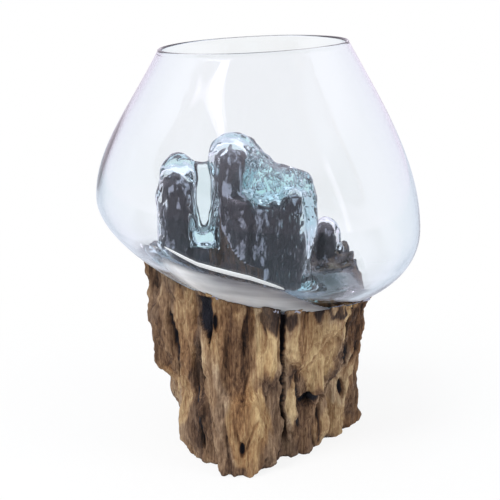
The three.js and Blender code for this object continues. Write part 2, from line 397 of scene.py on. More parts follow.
@dataclass(frozen=True)
class Drape:
    """Where the hot glass lies over the wood: the faces that the two pieces turn to each other."""

    form: BowlForm
    prongs: tuple[Stalk, ...]
    coats: tuple[Stalk, ...]
    web: Web
    gap: float = 0.4
    pool_middle: Pair = (-4.0, 4.0)
    pool_depth: float = 9.0
    pool_radius: float = 58.0
    pool_edge: float = 36.0
    pool_blend: float = 2.0
    least_glass: float = 1.5
    least_blend: float = 1.0
    prong_blend: float = 3.0
    wood_foot: float = 9.0
    coat_foot: float = 10.0
    coat_blend: float = 7.0
    web_blend: float = 1.2

    def wood_distance(self, places: Array, above: Array) -> Array:
        """About how far places lie outside the wood's seat and prongs.

        Args:
            places: Places in space, in the last axis of the array.
            above: How far each place lies above the seat.

        Returns:
            The least distance to the seat and the prongs, rounded where they meet.
        """
        stalks = [prong.distance(places) for prong in self.prongs]
        return smooth_min(above, smooth_union(stalks, self.prong_blend), self.wood_foot)

    def pool_top(self, x: Array, y: Array) -> Array:
        """The height of the bowl's bottom over the plan, without the coats.

        Args:
            x: Places along X.
            y: Places along Y.

        Returns:
            The thin wall's inner face, or the pool's top where it is higher.
        """
        outside = self.form.floor(x, y)
        inside = self.form.floor(x, y, self.form.belly_wall)
        away = np.hypot(x - self.pool_middle[0], y - self.pool_middle[1])
        thick = smooth_step(self.pool_radius + self.pool_edge, self.pool_radius, away)
        return smooth_max(inside, outside + self.pool_depth * thick, self.pool_blend)

    def glass_distance(self, places: Array, above: Array) -> Array:
        """About how far places in the bowl lie outside the glass.

        Args:
            places: Places in space, in the last axis of the array.
            above: How far each place lies above the pool's top.

        Returns:
            The least distance to the pool, the coats and the web, rounded where they meet, and
            never nearer the wood than the least glass.
        """
        x, y, z = np.moveaxis(places, -1, 0)
        raised = smooth_union([coat.distance(places) for coat in self.coats], self.coat_blend)
        raised = smooth_min(raised, self.web.distance(places), self.web_blend)
        nearest = smooth_min(above, raised, self.coat_foot)
        over_seat = z - self.form.floor(x, y)
        least = self.wood_distance(places, over_seat) - self.gap - self.least_glass
        return smooth_min(nearest, least, self.least_blend)


def stitched(inner: Array, inner_turn: Array, outer: Array, outer_turn: Array) -> Array:
    """The triangles between two rings that needn't have as many points as each other.

    Args:
        inner: The indices of the inner ring's points, counter-clockwise.
        inner_turn: Their angles from +X, rising within 0 and a whole turn.
        outer: The indices of the outer ring's points.
        outer_turn: Their angles.

    Returns:
        Triangles that face up. Going round by angle, each point makes one with the point before it
        on its own ring and the last point passed on the other ring.
    """
    is_outer = np.arange(len(inner) + len(outer)) >= len(inner)
    rank = np.concatenate([np.arange(len(inner)), np.arange(len(outer))])
    order = np.lexsort((is_outer, np.concatenate([inner_turn, outer_turn])))
    is_outer, rank = is_outer[order], rank[order]
    passed_inner = np.maximum.accumulate(np.where(is_outer, -1, rank))
    passed_outer = np.maximum.accumulate(np.where(is_outer, rank, -1))
    outward = np.column_stack([inner[passed_inner], outer[rank * is_outer - 1], outer[rank * is_outer]])
    own = rank * ~is_outer
    inward = np.column_stack([inner[own - 1], outer[passed_outer], inner[own]])
    return np.vstack([outward[is_outer], inward[~is_outer]])


@dataclass
class RoundGrid:
    """A grid over a round plan with layers over a ground, in which a surface is drawn."""

    cells: int
    layer: float
    top: float
    settling: float = 0.94

    def plan(self) -> Array:
        """The grid's plan with a radius of 1.

        Returns:
            Rows and columns of (x, y). Each square round the middle becomes a circle, on which
            the share of the way along its side becomes an angle.
        """
        side = np.linspace(-1.0, 1.0, self.cells + 1)
        across, along = np.meshgrid(side, side, indexing="ij")
        wide = np.abs(across) >= np.abs(along)
        radius = np.where(wide, across, along)
        safe = np.where(radius == 0.0, 1.0, radius)
        slant = np.where(wide, along, across) / safe * math.pi / 4.0
        turn = np.where(wide, slant, math.pi / 2.0 - slant)
        return np.stack([radius * np.cos(turn), radius * np.sin(turn)], axis=-1)

    def places(self, plan: Array, ground: Array) -> tuple[Array, Array]:
        """The grid's places in space.

        Args:
            plan: The plan in millimetres.
            ground: The height of the ground over it.

        Returns:
            The places, and how far each lies above the ground, which runs midway between the
            first two layers.
        """
        above = np.arange(-0.5 * self.layer, self.top, self.layer)
        above = np.broadcast_to(above, (*ground.shape, len(above)))
        flat = np.broadcast_to(plan[:, :, None], (*above.shape, 2))
        return np.concatenate([flat, (ground[..., None] + above)[..., None]], axis=3), above

    def settled(self, distance: Array, above: Array) -> Array:
        """Brings a surface down to the ground at the grid's edge.

        Args:
            distance: The distance from the surface at each of the grid's places.
            above: How far each place lies above the ground.

        Returns:
            The distance, which turns into the height above the ground over the outermost part.
        """
        radius = np.linalg.norm(self.plan(), axis=-1)
        kept = smooth_step(1.0, self.settling, radius)[..., None]
        return self.parted(above + (distance - above) * kept)

    @staticmethod
    def parted(distance: Array, rounds: int = 12) -> Array:
        """Ends saddles, at which a drawn surface would touch itself along an edge.

        Args:
            distance: The distance from the surface at each of the grid's places.
            rounds: How many times to look for saddles at most.

        Returns:
            The distance. Wherever the corners of a square between grid places lie inside and
            outside by turns, the corner nearest the surface has moved to its other side.
        """
        flat = distance.ravel().copy()
        number = np.arange(flat.size).reshape(distance.shape)
        squares = []
        for axis in range(3):
            turned = np.moveaxis(number, axis, 0)
            corners = (turned[:, :-1, :-1], turned[:, 1:, :-1], turned[:, 1:, 1:], turned[:, :-1, 1:])
            squares.append(np.column_stack([corner.ravel() for corner in corners]))
        square = np.vstack(squares)
        for _ in range(rounds):
            inside = flat[square] < 0.0
            by_turns = (inside[:, 0] == inside[:, 2]) & (inside[:, 1] == inside[:, 3])
            saddle = square[by_turns & (inside[:, 0] != inside[:, 1])]
            if not len(saddle):
                break
            nearest = np.argmin(np.abs(flat[saddle]), axis=1)
            moved = np.unique(saddle[np.arange(len(saddle)), nearest])
            flat[moved] = -flat[moved]
        return flat.reshape(distance.shape)


@dataclass
class Drawn:
    """A surface drawn in a grid: its points, its triangles, and the points round its edge."""

    points: Array
    faces: Array
    edge: Array

    @classmethod
    def at_zero(cls, distance: Array, places: Array) -> "Drawn":
        """Draws the surface on which a distance is zero, facing to where it is above zero.

        Args:
            distance: The distance at each of the grid's places.
            places: The places.

        Returns:
            A net with one point in each cell that the surface crosses, at the mean of the places
            where the cell's edges cross it, and a pair of triangles round each crossed edge.
        """
        inside = distance < 0.0
        cells = np.array(distance.shape) - 1
        total = np.zeros((cells.prod(), 3))
        count = np.zeros(cells.prod())
        quads = []
        for axis in range(3):
            low = tuple(slice(None, -1) if k == axis else slice(None) for k in range(3))
            high = tuple(slice(1, None) if k == axis else slice(None) for k in range(3))
            crossed = inside[low] != inside[high]
            before, after = distance[low][crossed], distance[high][crossed]
            share = (before / (before - after))[:, None]
            crossing = places[low][crossed] * (1.0 - share) + places[high][crossed] * share
            index = np.argwhere(crossed)
            first, second = (k for k in range(3) if k != axis)
            around = []
            for step_first, step_second in ((0, 0), (1, 0), (1, 1), (0, 1)):
                cell = index.copy()
                cell[:, first] -= step_first
                cell[:, second] -= step_second
                within = ((cell >= 0) & (cell < cells)).all(axis=1)
                flat = np.where(within, cell @ [cells[1] * cells[2], cells[2], 1], -1)
                total += summed(crossing[within], flat[within], len(total))
                count += np.bincount(flat[within], minlength=len(total))
                around.append(flat)
            quad = np.column_stack(around)
            whole = (quad >= 0).all(axis=1)
            forward = inside[low][crossed] ^ (axis == 1)
            quad[~forward] = quad[~forward][:, ::-1]
            quads.append(quad[whole])
        used = np.flatnonzero(count)
        points = total[used] / count[used, None]
        number = np.full(len(total), -1)
        number[used] = np.arange(len(used))
        quad = number[np.vstack(quads)]
        a, b, c, d = (points[quad[:, corner]] for corner in range(4))
        first_shorter = np.linalg.norm(a - c, axis=1) < np.linalg.norm(b - d, axis=1)
        one = np.where(first_shorter[:, None], quad[:, [0, 1, 2]], quad[:, [0, 1, 3]])
        other = np.where(first_shorter[:, None], quad[:, [0, 2, 3]], quad[:, [1, 2, 3]])
        place = np.column_stack(np.unravel_index(used, cells))[:, :2]
        edge = np.flatnonzero(((place == 0) | (place == cells[:2] - 1)).any(axis=1))
        return cls(points, np.vstack([one, other]), edge)

    def turned_edge(self, middle: Array) -> tuple[Array, Array]:
        """The edge's points in order of their angle round a middle, and those angles.

        Args:
            middle: The (x, y) to turn round.

        Returns:
            The indices, and the angles from 0 to a whole turn.
        """
        turn = np.arctan2(*(self.points[self.edge, :2] - middle).T[::-1]) % (2.0 * math.pi)
        order = np.argsort(turn)
        return self.edge[order], turn[order]


@dataclass
class Shell:
    """A closed mesh in the making: points in millimetres, and triangles."""

    points: Array
    faces: Array

    def normals(self) -> Array:
        """The unit normals at the points: the mean of the faces round each, by their areas."""
        a, b, c = (self.points[self.faces[:, corner]] for corner in range(3))
        across = np.cross(b - a, c - a)
        total = sum(summed(across, corner, len(self.points)) for corner in self.faces.T)
        return total / np.maximum(np.linalg.norm(total, axis=1, keepdims=True), 1e-12)

    def evened(self, free: Array, rounds: int, strength: float = 0.5) -> None:
        """Slides points along the surface to even out the triangles.

        Args:
            free: How freely each point moves, from 0 to 1.
            rounds: How many rounds of sliding.
            strength: The share of the way to the neighbours' mean that a round moves a point,
                less the part along the point's normal.
        """
        pairs = np.unique(np.sort(self.faces[:, [0, 1, 1, 2, 2, 0]].reshape(-1, 2), axis=1), axis=0)
        ends = np.concatenate([pairs[:, 0], pairs[:, 1]])
        others = np.concatenate([pairs[:, 1], pairs[:, 0]])
        count = np.bincount(ends, minlength=len(self.points))
        for _ in range(rounds):
            total = summed(self.points[others], ends, len(self.points))
            mean = total / np.maximum(count, 1)[:, None]
            move = (mean - self.points) * (strength * free)[:, None]
            normal = self.normals()
            move -= normal * (move * normal).sum(axis=1, keepdims=True)
            self.points = self.points + move

    def to_object(self, name: str, material: Material) -> Piece:
        """Makes a smooth Blender object of its material at the origin, in metres."""
        mesh = bpy.data.meshes.new(name)
        mesh.vertices.add(len(self.points))
        mesh.vertices.foreach_set("co", (self.points * MILLIMETRE).astype(np.float32).ravel())
        mesh.loops.add(3 * len(self.faces))
        mesh.loops.foreach_set("vertex_index", self.faces.astype(np.int32).ravel())
        mesh.polygons.add(len(self.faces))
        mesh.polygons.foreach_set("loop_start", np.arange(0, 3 * len(self.faces), 3, dtype=np.int32))
        mesh.polygons.foreach_set("use_smooth", np.ones(len(self.faces), bool))
        mesh.update(calc_edges=True)
        mesh.materials.append(material)
        return link_object(name, mesh)


def ring_rows(start: int, rings: int, count: int) -> Array:
    """The indices of rings of points that lie one after another, a ring in each row."""
    return start + np.arange(rings * count).reshape(rings, count)


def wall_faces(rings: Array, low_tip: int | None = None, high_tip: int | None = None) -> Array:
    """The triangles of a wall through closed rings of points.

    Args:
        rings: The indices of each ring's points, counter-clockwise from above, lowest ring first.
        low_tip: The index of a point that closes the lowest ring.
        high_tip: The index of a point that closes the highest ring.

    Returns:
        Triangles that face outwards.
    """
    faces = []
    for low, high in zip(rings, rings[1:]):
        low_next, high_next = np.roll(low, -1), np.roll(high, -1)
        faces.append(np.column_stack([low, low_next, high_next]))
        faces.append(np.column_stack([low, high_next, high]))
    if low_tip is not None:
        tips = np.full(len(rings[0]), low_tip)
        faces.append(np.column_stack([tips, np.roll(rings[0], -1), rings[0]]))
    if high_tip is not None:
        tips = np.full(len(rings[-1]), high_tip)
        faces.append(np.column_stack([tips, rings[-1], np.roll(rings[-1], -1)]))
    return np.vstack(faces)


def even_rows(curve: Array, spacing: float) -> Array:
    """Points along a curve at even distances, both ends among them.

    Args:
        curve: The curve as dense rows.
        spacing: The distance to keep, in millimetres.

    Returns:
        The rows at equal steps of the running length.
    """
    length = np.concatenate([[0.0], np.cumsum(np.linalg.norm(np.diff(curve, axis=0), axis=1))])
    count = max(int(round(length[-1] / spacing)), 1)
    marks = np.linspace(0.0, length[-1], count + 1)
    return np.column_stack([np.interp(marks, length, column) for column in curve.T])


class Nodes:
    """The nodes of a material or of the world."""

    def __init__(self, owner: Material | bpy.types.World) -> None:
        """Starts the owner's nodes with none."""
        owner.use_nodes = True
        self.tree = owner.node_tree
        self.tree.nodes.clear()

    def add(self, kind: str, inputs: dict | None = None, **settings: object) -> bpy.types.Node:
        """Adds a node.

        Args:
            kind: Which node.
            inputs: What its inputs get, by their names or numbers: an output of another node, or
                a value. A colour is a triple, to which the alpha of 1 is added where it's needed.
            settings: The node's own settings.

        Returns:
            The node.
        """
        node = self.tree.nodes.new(kind)
        for setting, value in settings.items():
            setattr(node, setting, value)
        for place, value in (inputs or {}).items():
            socket = node.inputs[place]
            if isinstance(value, Socket):
                self.tree.links.new(value, socket)
            else:
                socket.default_value = (*value, 1.0) if socket.type == "RGBA" else value
        return node

    def math(self, operation: str, *values: Socket | float, clamped: bool = False) -> Socket:
        """Adds a sum of values, each linked or fixed, and gives its output."""
        inputs = dict(enumerate(values))
        return self.add("ShaderNodeMath", inputs, operation=operation, use_clamp=clamped).outputs[0]

    def ranged(self, value: Socket, source: Pair, target: Pair = (0.0, 1.0)) -> Socket:
        """Adds a smooth step from the one range to the other, and gives its output."""
        ends = {"From Min": source[0], "From Max": source[1], "To Min": target[0], "To Max": target[1]}
        node = self.add("ShaderNodeMapRange", {"Value": value, **ends}, interpolation_type="SMOOTHSTEP")
        return node.outputs[0]

    def stretched(self, value: Socket, target: Pair) -> Socket:
        """Adds a straight mapping of 0 to 1 to a range, and gives its output."""
        ends = {"Value": value, "To Min": target[0], "To Max": target[1]}
        return self.add("ShaderNodeMapRange", ends).outputs[0]

    def noise(self, waves: Triple, detail: float, roughness: float = 0.5) -> Socket:
        """Adds noise that lies still in the piece.

        Args:
            waves: Waves per metre along X, Y and Z.
            detail: How many finer layers it has.
            roughness: How strong each finer layer is.

        Returns:
            The noise's value, from 0 to 1 about a half.
        """
        place = self.add("ShaderNodeTexCoord").outputs["Object"]
        read = self.add("ShaderNodeMapping", {"Vector": place, "Scale": waves}).outputs[0]
        fineness = {"Scale": 1.0, "Detail": detail, "Roughness": roughness}
        return self.add("ShaderNodeTexNoise", {"Vector": read, **fineness}).outputs[0]

    def uneven(self, value: Socket, *parts: tuple[Socket, float]) -> Socket:
        """Adds noise to a value.

        Args:
            value: The value.
            parts: Pairs of a noise and the weight of its distance from a half.

        Returns:
            The sum's output.
        """
        for noise, weight in parts:
            part = self.math("MULTIPLY_ADD", noise, weight, -0.5 * weight)
            value = self.math("ADD", value, part)
        return value

    def mixed(self, share: Socket, first: Socket | Triple, second: Socket | Triple) -> Socket:
        """Adds a mix of two colours by the second one's share, and gives its output."""
        inputs = {"Factor": share, 6: first, 7: second}
        return self.add("ShaderNodeMix", inputs, data_type="RGBA").outputs[2]

    def shaders(self, share: Socket, first: bpy.types.Node, second: bpy.types.Node) -> bpy.types.Node:
        """Adds a mix of two shaders by the second one's share."""
        return self.add("ShaderNodeMixShader", {0: share, 1: first.outputs[0], 2: second.outputs[0]})


def state_of(nodes: Nodes, attribute: str) -> tuple[Sequence[Socket], Socket]:
    """Adds what reads a piece's own state, and gives its first three parts and its fourth."""
    state = nodes.add("ShaderNodeAttribute", attribute_name=attribute)
    parts = nodes.add("ShaderNodeSeparateColor", {0: state.outputs["Color"]})
    return parts.outputs, state.outputs["Alpha"]


def new_material(name: str) -> tuple[Material, Nodes]:
    """Makes a material, and the nodes to fill it with."""
    material = bpy.data.materials.new(name)
    return material, Nodes(material)


def paint(piece: Piece, attribute: str, state: Array) -> None:
    """Gives each point of a piece its state, a row of four, for its material to read."""
    layer = piece.data.color_attributes.new(attribute, "FLOAT_COLOR", "POINT")
    layer.data.foreach_set("color", state.astype(np.float32).ravel())


def link_object(name: str, data: bpy.types.ID) -> Piece:
    """Makes an object of its data and puts it in the scene."""
    thing = bpy.data.objects.new(name, data)
    bpy.context.scene.collection.objects.link(thing)
    return thing


@dataclass(frozen=True)
class BlownGlass:
    """Clear polished glass: faintly lilac where it is thin, and teal where it is thick."""

    refraction: float = 1.5
    cast: Triple = (1.0, 0.986, 1.0)
    tint: Triple = (0.27, 0.82, 0.84)
    density: float = 21.0

    def material(self) -> Material:
        """Makes the material: a clear surface that lets lamps through, and the tint inside it."""
        material, nodes = new_material("blown_glass")
        look = {"Base Color": self.cast, "Roughness": 0.0, "IOR": self.refraction}
        clear = nodes.add("ShaderNodeBsdfPrincipled", {**look, "Transmission Weight": 1.0})
        shadow = nodes.add("ShaderNodeLightPath").outputs["Is Shadow Ray"]
        surface = nodes.shaders(shadow, clear, nodes.add("ShaderNodeBsdfTransparent"))
        tint = nodes.add("ShaderNodeVolumeAbsorption", {"Color": self.tint, "Density": self.density})
        ends = {"Surface": surface.outputs[0], "Volume": tint.outputs[0]}
        nodes.add("ShaderNodeOutputMaterial", ends)
        return material


@dataclass
class PaintedHighlightStrand:
    """A white strand in the wall's foot, a painted highlight along the line where the sagging bubble
    folded.

    Its line is rows of (degrees from the front towards the left, height).
    """

    form: BowlForm
    line: tuple[Pair, ...] = (
        (-9.5, 141.8), (-6, 144.6), (3.4, 151), (13, 155), (22, 158.5), (33.5, 168),
    )
    depth: float = 1.3
    half_high: float = 1.9
    half_thick: float = 0.7
    end_power: float = 0.4
    steps: int = 150
    sides: int = 16
    roughness: float = 0.5
    # The strand glows a little of its own, though it is no lamp: painted light.
    glow: float = 0.22
    specks_per_metre: float = 900.0
    speck_tones: Pair = (0.90, 1.0)

    def shell(self) -> Shell:
        """The strand's skin.

        Returns:
            At each angle from the front, an oval in the wall's thickness and its height, whose
            size is a power of the share that is left of a half circle towards both ends. An end
            is one point.
        """
        line = np.array(self.line)
        share = np.linspace(-1.0, 1.0, self.steps)[1:-1]
        angle = 0.5 * (line[0, 0] + line[-1, 0]) + 0.5 * (line[-1, 0] - line[0, 0]) * share
        size = (1.0 - share**2) ** self.end_power
        (middle,) = columns_at(self.line, angle)
        points = []
        for turn in np.arange(self.sides) * (2.0 * math.pi / self.sides):
            inset = self.depth + self.half_thick * math.cos(turn) * size
            height = middle + self.half_high * math.sin(turn) * size
            points.append(self.in_wall(np.radians(angle), height, inset))
        points += [self.in_wall(np.radians(line[[k], 0]), line[[k], 1], self.depth) for k in (0, -1)]
        tip = self.sides * len(angle)
        rings = ring_rows(0, self.sides, len(angle)).T
        return Shell(np.vstack(points), wall_faces(rings, tip, tip + 1)[:, ::-1])

    def in_wall(self, angle: Array, height: Array, inset: Array | float) -> Array:
        """Places in the wall.

        Args:
            angle: Angles from the front towards the left, in radians.
            height: Heights.
            inset: How far inside the blown shape the places lie.

        Returns:
            Rows of (x, y, z). The level on the unsloped profile is found by taking the slope's
            rise off the height a few times over.
        """
        low, high = self.form.half_profiles(0.0, 0.0)
        deep_low, deep_high = self.form.half_profiles(1.0, 1.0)
        profile = np.vstack([low, high[1:]])
        inward = np.vstack([deep_low, deep_high[1:]]) - profile
        level = height.copy()
        for _ in range(8):
            step = [np.interp(level, profile[:, 1], inward[:, k]) for k in (0, 1)]
            radius = np.interp(level, profile[:, 1], profile[:, 0]) + inset * step[0]
            placed = self.form.turned(angle, radius, level + inset * step[1])
            level = level + height - placed[:, 2]
        return placed

    def material(self) -> Material:
        """Makes the material: a painted highlight, white with fine specks, that glows a little of its
        own.
        """
        material, nodes = new_material("painted_highlight_white")
        speck = nodes.noise((self.specks_per_metre,) * 3, 2.0)
        light = {"Emission Color": WHITE, "Emission Strength": self.glow}
        look = {"Base Color": nodes.stretched(speck, self.speck_tones), "Roughness": self.roughness}
        painted_highlight = nodes.add("ShaderNodeBsdfPrincipled", {**look, **light})
        nodes.add("ShaderNodeOutputMaterial", {"Surface": painted_highlight.outputs[0]})
        return material

    def build(self) -> Piece:
        """Makes the strand, dresses it and puts it on its body."""
        piece = self.shell().to_object("painted_highlight_strand", self.material())
        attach(piece, Body.BOWL.value)
        return piece


@dataclass(frozen=True)
class Bubbles:
    """Steam bubbles that the wood gave off into the soft glass: round ones and drawn-out ones.

    They lie between a low and a high corner. The half widths are in millimetres, and the half
    heights are drawn out by a factor.
    """

    seed: int
    low: Triple
    high: Triple
    tries: int
    half_wide: Pair
    drawn_out: Pair
    turns: int = 10
    levels: int = 7
    glass_left: float = 1.2
    wood_left: float = 1.0
    apart: float = 0.2

    def shell(self, drape: Drape) -> Shell:
        """The bubbles' walls, whose faces look into the air.

        Args:
            drape: Where the glass and the wood lie.

        Returns:
            Ellipsoids at random places that keep clear of the glass's faces, of the wood and of
            each other: sine and cosine of the turn and the level times the half sizes.
        """
        draw = np.random.default_rng(self.seed)
        places = draw.uniform(self.low, self.high, (self.tries, 3))
        wide = draw.uniform(*self.half_wide, self.tries)
        tall = wide * draw.uniform(*self.drawn_out, self.tries)
        fits = np.ones(self.tries, bool)
        for share in (-1.0, 0.0, 1.0):
            spot = places + np.array([0.0, 0.0, 1.0]) * (share * tall)[:, None]
            over_pool = spot[:, 2] - drape.pool_top(spot[:, 0], spot[:, 1])
            over_seat = spot[:, 2] - drape.form.floor(spot[:, 0], spot[:, 1])
            fits &= drape.glass_distance(spot, over_pool) < -wide - self.glass_left
            fits &= drape.wood_distance(spot, over_seat) > drape.gap + wide + self.wood_left
        apart = np.linalg.norm((places[:, None] - places[None]) * (1.0, 1.0, 0.5), axis=2)
        reach = np.maximum(wide, 0.5 * tall)
        crowded = apart < reach[:, None] + reach[None] + self.apart
        crowded &= fits[:, None] & fits[None]
        fits &= ~np.tril(crowded, -1).any(axis=1)
        places, wide, tall = places[fits], wide[fits], tall[fits]
        turn = np.arange(self.turns) * (2.0 * math.pi / self.turns)
        lift = np.linspace(-0.5 * math.pi, 0.5 * math.pi, self.levels + 1)[1:-1]
        ring = np.column_stack([np.cos(turn), np.sin(turn)])
        unit = np.concatenate(
            [np.column_stack([ring * math.cos(at), np.full(self.turns, math.sin(at))]) for at in lift]
            + [np.array([[0.0, 0.0, -1.0], [0.0, 0.0, 1.0]])]
        )
        walls = wall_faces(ring_rows(0, len(lift), self.turns), len(unit) - 2, len(unit) - 1)
        size = np.column_stack([wide, wide, tall])
        points = places[:, None] + unit[None] * size[:, None]
        shift = np.arange(len(places)) * len(unit)
        faces = walls[None, :, ::-1] + shift[:, None, None]
        return Shell(points.reshape(-1, 3), faces.reshape(-1, 3))


@dataclass
class GlassBowl:
    """The blown bowl: wall, fire-polished lip, pool, coats round the prongs, and the web."""

    drape: Drape
    finish: BlownGlass
    bubbles: tuple[Bubbles, ...] = (
        Bubbles(31, (-10, -12, 166), (36, 28, 202), 1000, (0.45, 1.3), (0.8, 1.8)),
        Bubbles(32, (-8, -4, 196), (2, 26, 216), 300, (0.4, 1.1), (0.8, 2.4)),
        Bubbles(33, (-30, -12, 122), (42, -2, 178), 1500, (0.3, 0.6), (2.5, 7)),
    )
    cells: int = 104
    layer: float = 1.8
    grid_top: float = 128.0
    columns: int = 256
    spacing: float = 2.8
    lip_steps: int = 10
    outer_net: float = 96.0
    inner_net: float = 102.0
    evening: int = 3

    # Where the glass over the wood is free to ripple: by the radius, and by the rise over the seat.
    free_radius: Pair = (88.0, 80.0)
    free_rise: Pair = (3.0, 14.0)
    ripple: float = 0.9
    fine: Grain = Grain(GLASS, 0, (5, 7), 2)
    crests: Grain = Grain(GLASS, 40, (9, 15), 2, 0.8, True)
    broad: Grain = Grain(GLASS, 90, (11, 17), 2, 0.7)
    wave: Grain = Grain(GLASS, 0, (60, 90), 2, 0.25)
    fine_under: float = 0.6
    fine_over: float = 0.3

    # The ripples are stronger round the tops of the prongs on the right.
    jagged: float = 1.4
    jagged_x: Pair = (-14.0, -4.0)
    jagged_z: Pair = (170.0, 184.0)

    def lathe_rows(self) -> Array:
        """The profile between the two height patches, as (radius, level) rows.

        Returns:
            Rows up the outside, over the lip and down the inside, without both end rows.
        """
        form = self.drape.form
        low_out, high_out = form.half_profiles(0.0, 0.0)
        low_in, high_in = form.half_profiles(form.belly_wall, form.rim_wall)
        outside = np.vstack([low_out[low_out[:, 0] > self.outer_net], high_out[1:]])
        inside = np.vstack([low_in[low_in[:, 0] > self.inner_net], high_in[1:]])[::-1]
        turn = np.linspace(0.0, math.pi, self.lip_steps)[1:-1]
        half = form.rim_wall / 2.0
        lip = np.column_stack(
            [form.rim_radius - half + half * np.cos(turn), form.lip_height + half * np.sin(turn)]
        )
        rows_out = even_rows(outside, self.spacing)[1:]
        rows_in = even_rows(inside, self.spacing)[:-1]
        return np.vstack([rows_out, lip, rows_in])

    def patch(self, radius: float, side: Side) -> Drawn:
        """One of the two height patches: the underside, or the bottom with its coats.

        Args:
            radius: The patch's radius.
            side: Which way its faces look.

        Returns:
            The patch, drawn where the distance from the wood is the gap, or where the distance
            from the glass is zero.
        """
        drape = self.drape
        grid = RoundGrid(self.cells, self.layer, self.grid_top)
        plan = grid.plan() * radius
        ground = drape.pool_top if side is Side.UP else drape.form.floor
        height = ground(*plan.reshape(-1, 2).T).reshape(plan.shape[:2])
        places, above = grid.places(plan, height)
        if side is Side.UP:
            distance = drape.glass_distance(places, above)
        else:
            distance = drape.wood_distance(places, above + drape.gap) - drape.gap
        return Drawn.at_zero(grid.settled(distance, above), places)

    def shell(self) -> Shell:
        """Joins the lower patch, the turned wall and the upper patch into one closed shell."""
        under = self.patch(self.outer_net, Side.DOWN)
        over = self.patch(self.inner_net, Side.UP)
        rows = self.lathe_rows()
        count = self.columns
        turn = np.arange(count) * (2.0 * math.pi / count)
        around = np.column_stack([np.cos(turn), np.sin(turn)])
        level = np.concatenate(
            [np.column_stack([around * radius, np.full(count, height)]) for radius, height in rows]
        )
        wall = self.drape.form.sloped(level)
        wall_start = len(under.points) + len(over.points)
        rings = ring_rows(wall_start, len(rows), count)
        low_edge, low_turn = under.turned_edge(np.zeros(2))
        high_edge, high_turn = over.turned_edge(np.zeros(2))
        faces = [under.faces[:, ::-1], over.faces + len(under.points)]
        faces.append(stitched(low_edge, low_turn, rings[0], turn)[:, ::-1])
        faces.append(stitched(high_edge + len(under.points), high_turn, rings[-1], turn))
        faces.append(wall_faces(rings))
        shell = Shell(np.vstack([under.points, over.points, wall]), np.vstack(faces))
        free = np.zeros(len(shell.points))
        free[:wall_start] = smooth_step(*self.free_radius, np.hypot(*shell.points[:wall_start, :2].T))
        shell.evened(free, self.evening)
        self.ripple_faces(shell, len(under.points), wall_start)
        for group in self.bubbles:
            more = group.shell(self.drape)
            shell.faces = np.vstack([shell.faces, more.faces + len(shell.points)])
            shell.points = np.vstack([shell.points, more.points])
        return shell

    def ripple_faces(self, shell: Shell, under: int, patches: int) -> None:
        """Gives the faces of the glass the small waves that chilling left in them.

        Args:
            shell: The shell, whose points move.
            under: How many points the lower patch has.
            patches: How many points both patches have.
        """
        points = shell.points
        normal = shell.normals()
        number = np.arange(len(points))
        low = number < under
        high = (number >= under) & (number < patches)
        rise = points[:, 2] - self.drape.form.floor(points[:, 0], points[:, 1])
        radius = np.hypot(points[:, 0], points[:, 1])
        raised = smooth_step(*self.free_rise, rise) * smooth_step(*self.free_radius, radius)
        jagged = smooth_step(*self.jagged_x, points[:, 0]) * smooth_step(*self.jagged_z, points[:, 2])
        raised *= 1.0 + self.jagged * jagged
        fine = self.fine.at(points)
        sharp = self.crests.at(points) + self.fine_under * np.abs(fine)
        soft = self.broad.at(points) + self.fine_over * fine
        move = np.zeros(len(points))
        move[low] = -(self.ripple * raised * sharp)[low]
        move[high] = (self.ripple * raised * soft)[high]
        toward_axis = (points[:, :2] * normal[:, :2]).sum(axis=1) < 0.0
        inside = (number >= patches) & toward_axis
        move[inside] = self.wave.at(points)[inside]
        shell.points = points + normal * move[:, None]

    def build(self) -> Piece:
        """Makes the bowl, dresses it and puts it on its body."""
        piece = self.shell().to_object("blown_glass_bowl", self.finish.material())
        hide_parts("glass_bowl")
        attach(piece, Body.BOWL.value)
        return piece


@dataclass(frozen=True)
class SmokeAndReflectionFinish:
    """The silvery film that smoke from the burning wood left on the glass, lightened by a painted
    reflection.
    """

    attribute: str = "film_and_painted_reflection_state"
    # The film runs from dull grey to white as its painted reflection grows.
    dull: Triple = (0.060, 0.055, 0.080)
    bright: Triple = WHITE
    metallic: float = 0.1
    roughness: float = 0.34
    streaks_per_metre: Triple = (30.0, 30.0, 220.0)
    streak_weight: float = 0.5

    def material(self) -> Material:
        """Makes the material: a soft metallic grey, lightened towards white by its painted reflection,
        that fades by the film's own state.
        """
        material, nodes = new_material("smoke_film_and_painted_reflection")
        (cover, painted_reflection, _), _ = state_of(nodes, self.attribute)
        streak = nodes.noise(self.streaks_per_metre, 3.0)
        uneven = nodes.math("MULTIPLY_ADD", streak, self.streak_weight, painted_reflection)
        tone = nodes.math("SUBTRACT", uneven, 0.5 * self.streak_weight, clamped=True)
        look = {"Base Color": nodes.mixed(tone, self.dull, self.bright)}
        look |= {"Metallic": self.metallic, "Roughness": self.roughness}
        film = nodes.add("ShaderNodeBsdfPrincipled", look)
        surface = nodes.shaders(cover, nodes.add("ShaderNodeBsdfTransparent"), film)
        nodes.add("ShaderNodeOutputMaterial", {"Surface": surface.outputs[0]})
        return material


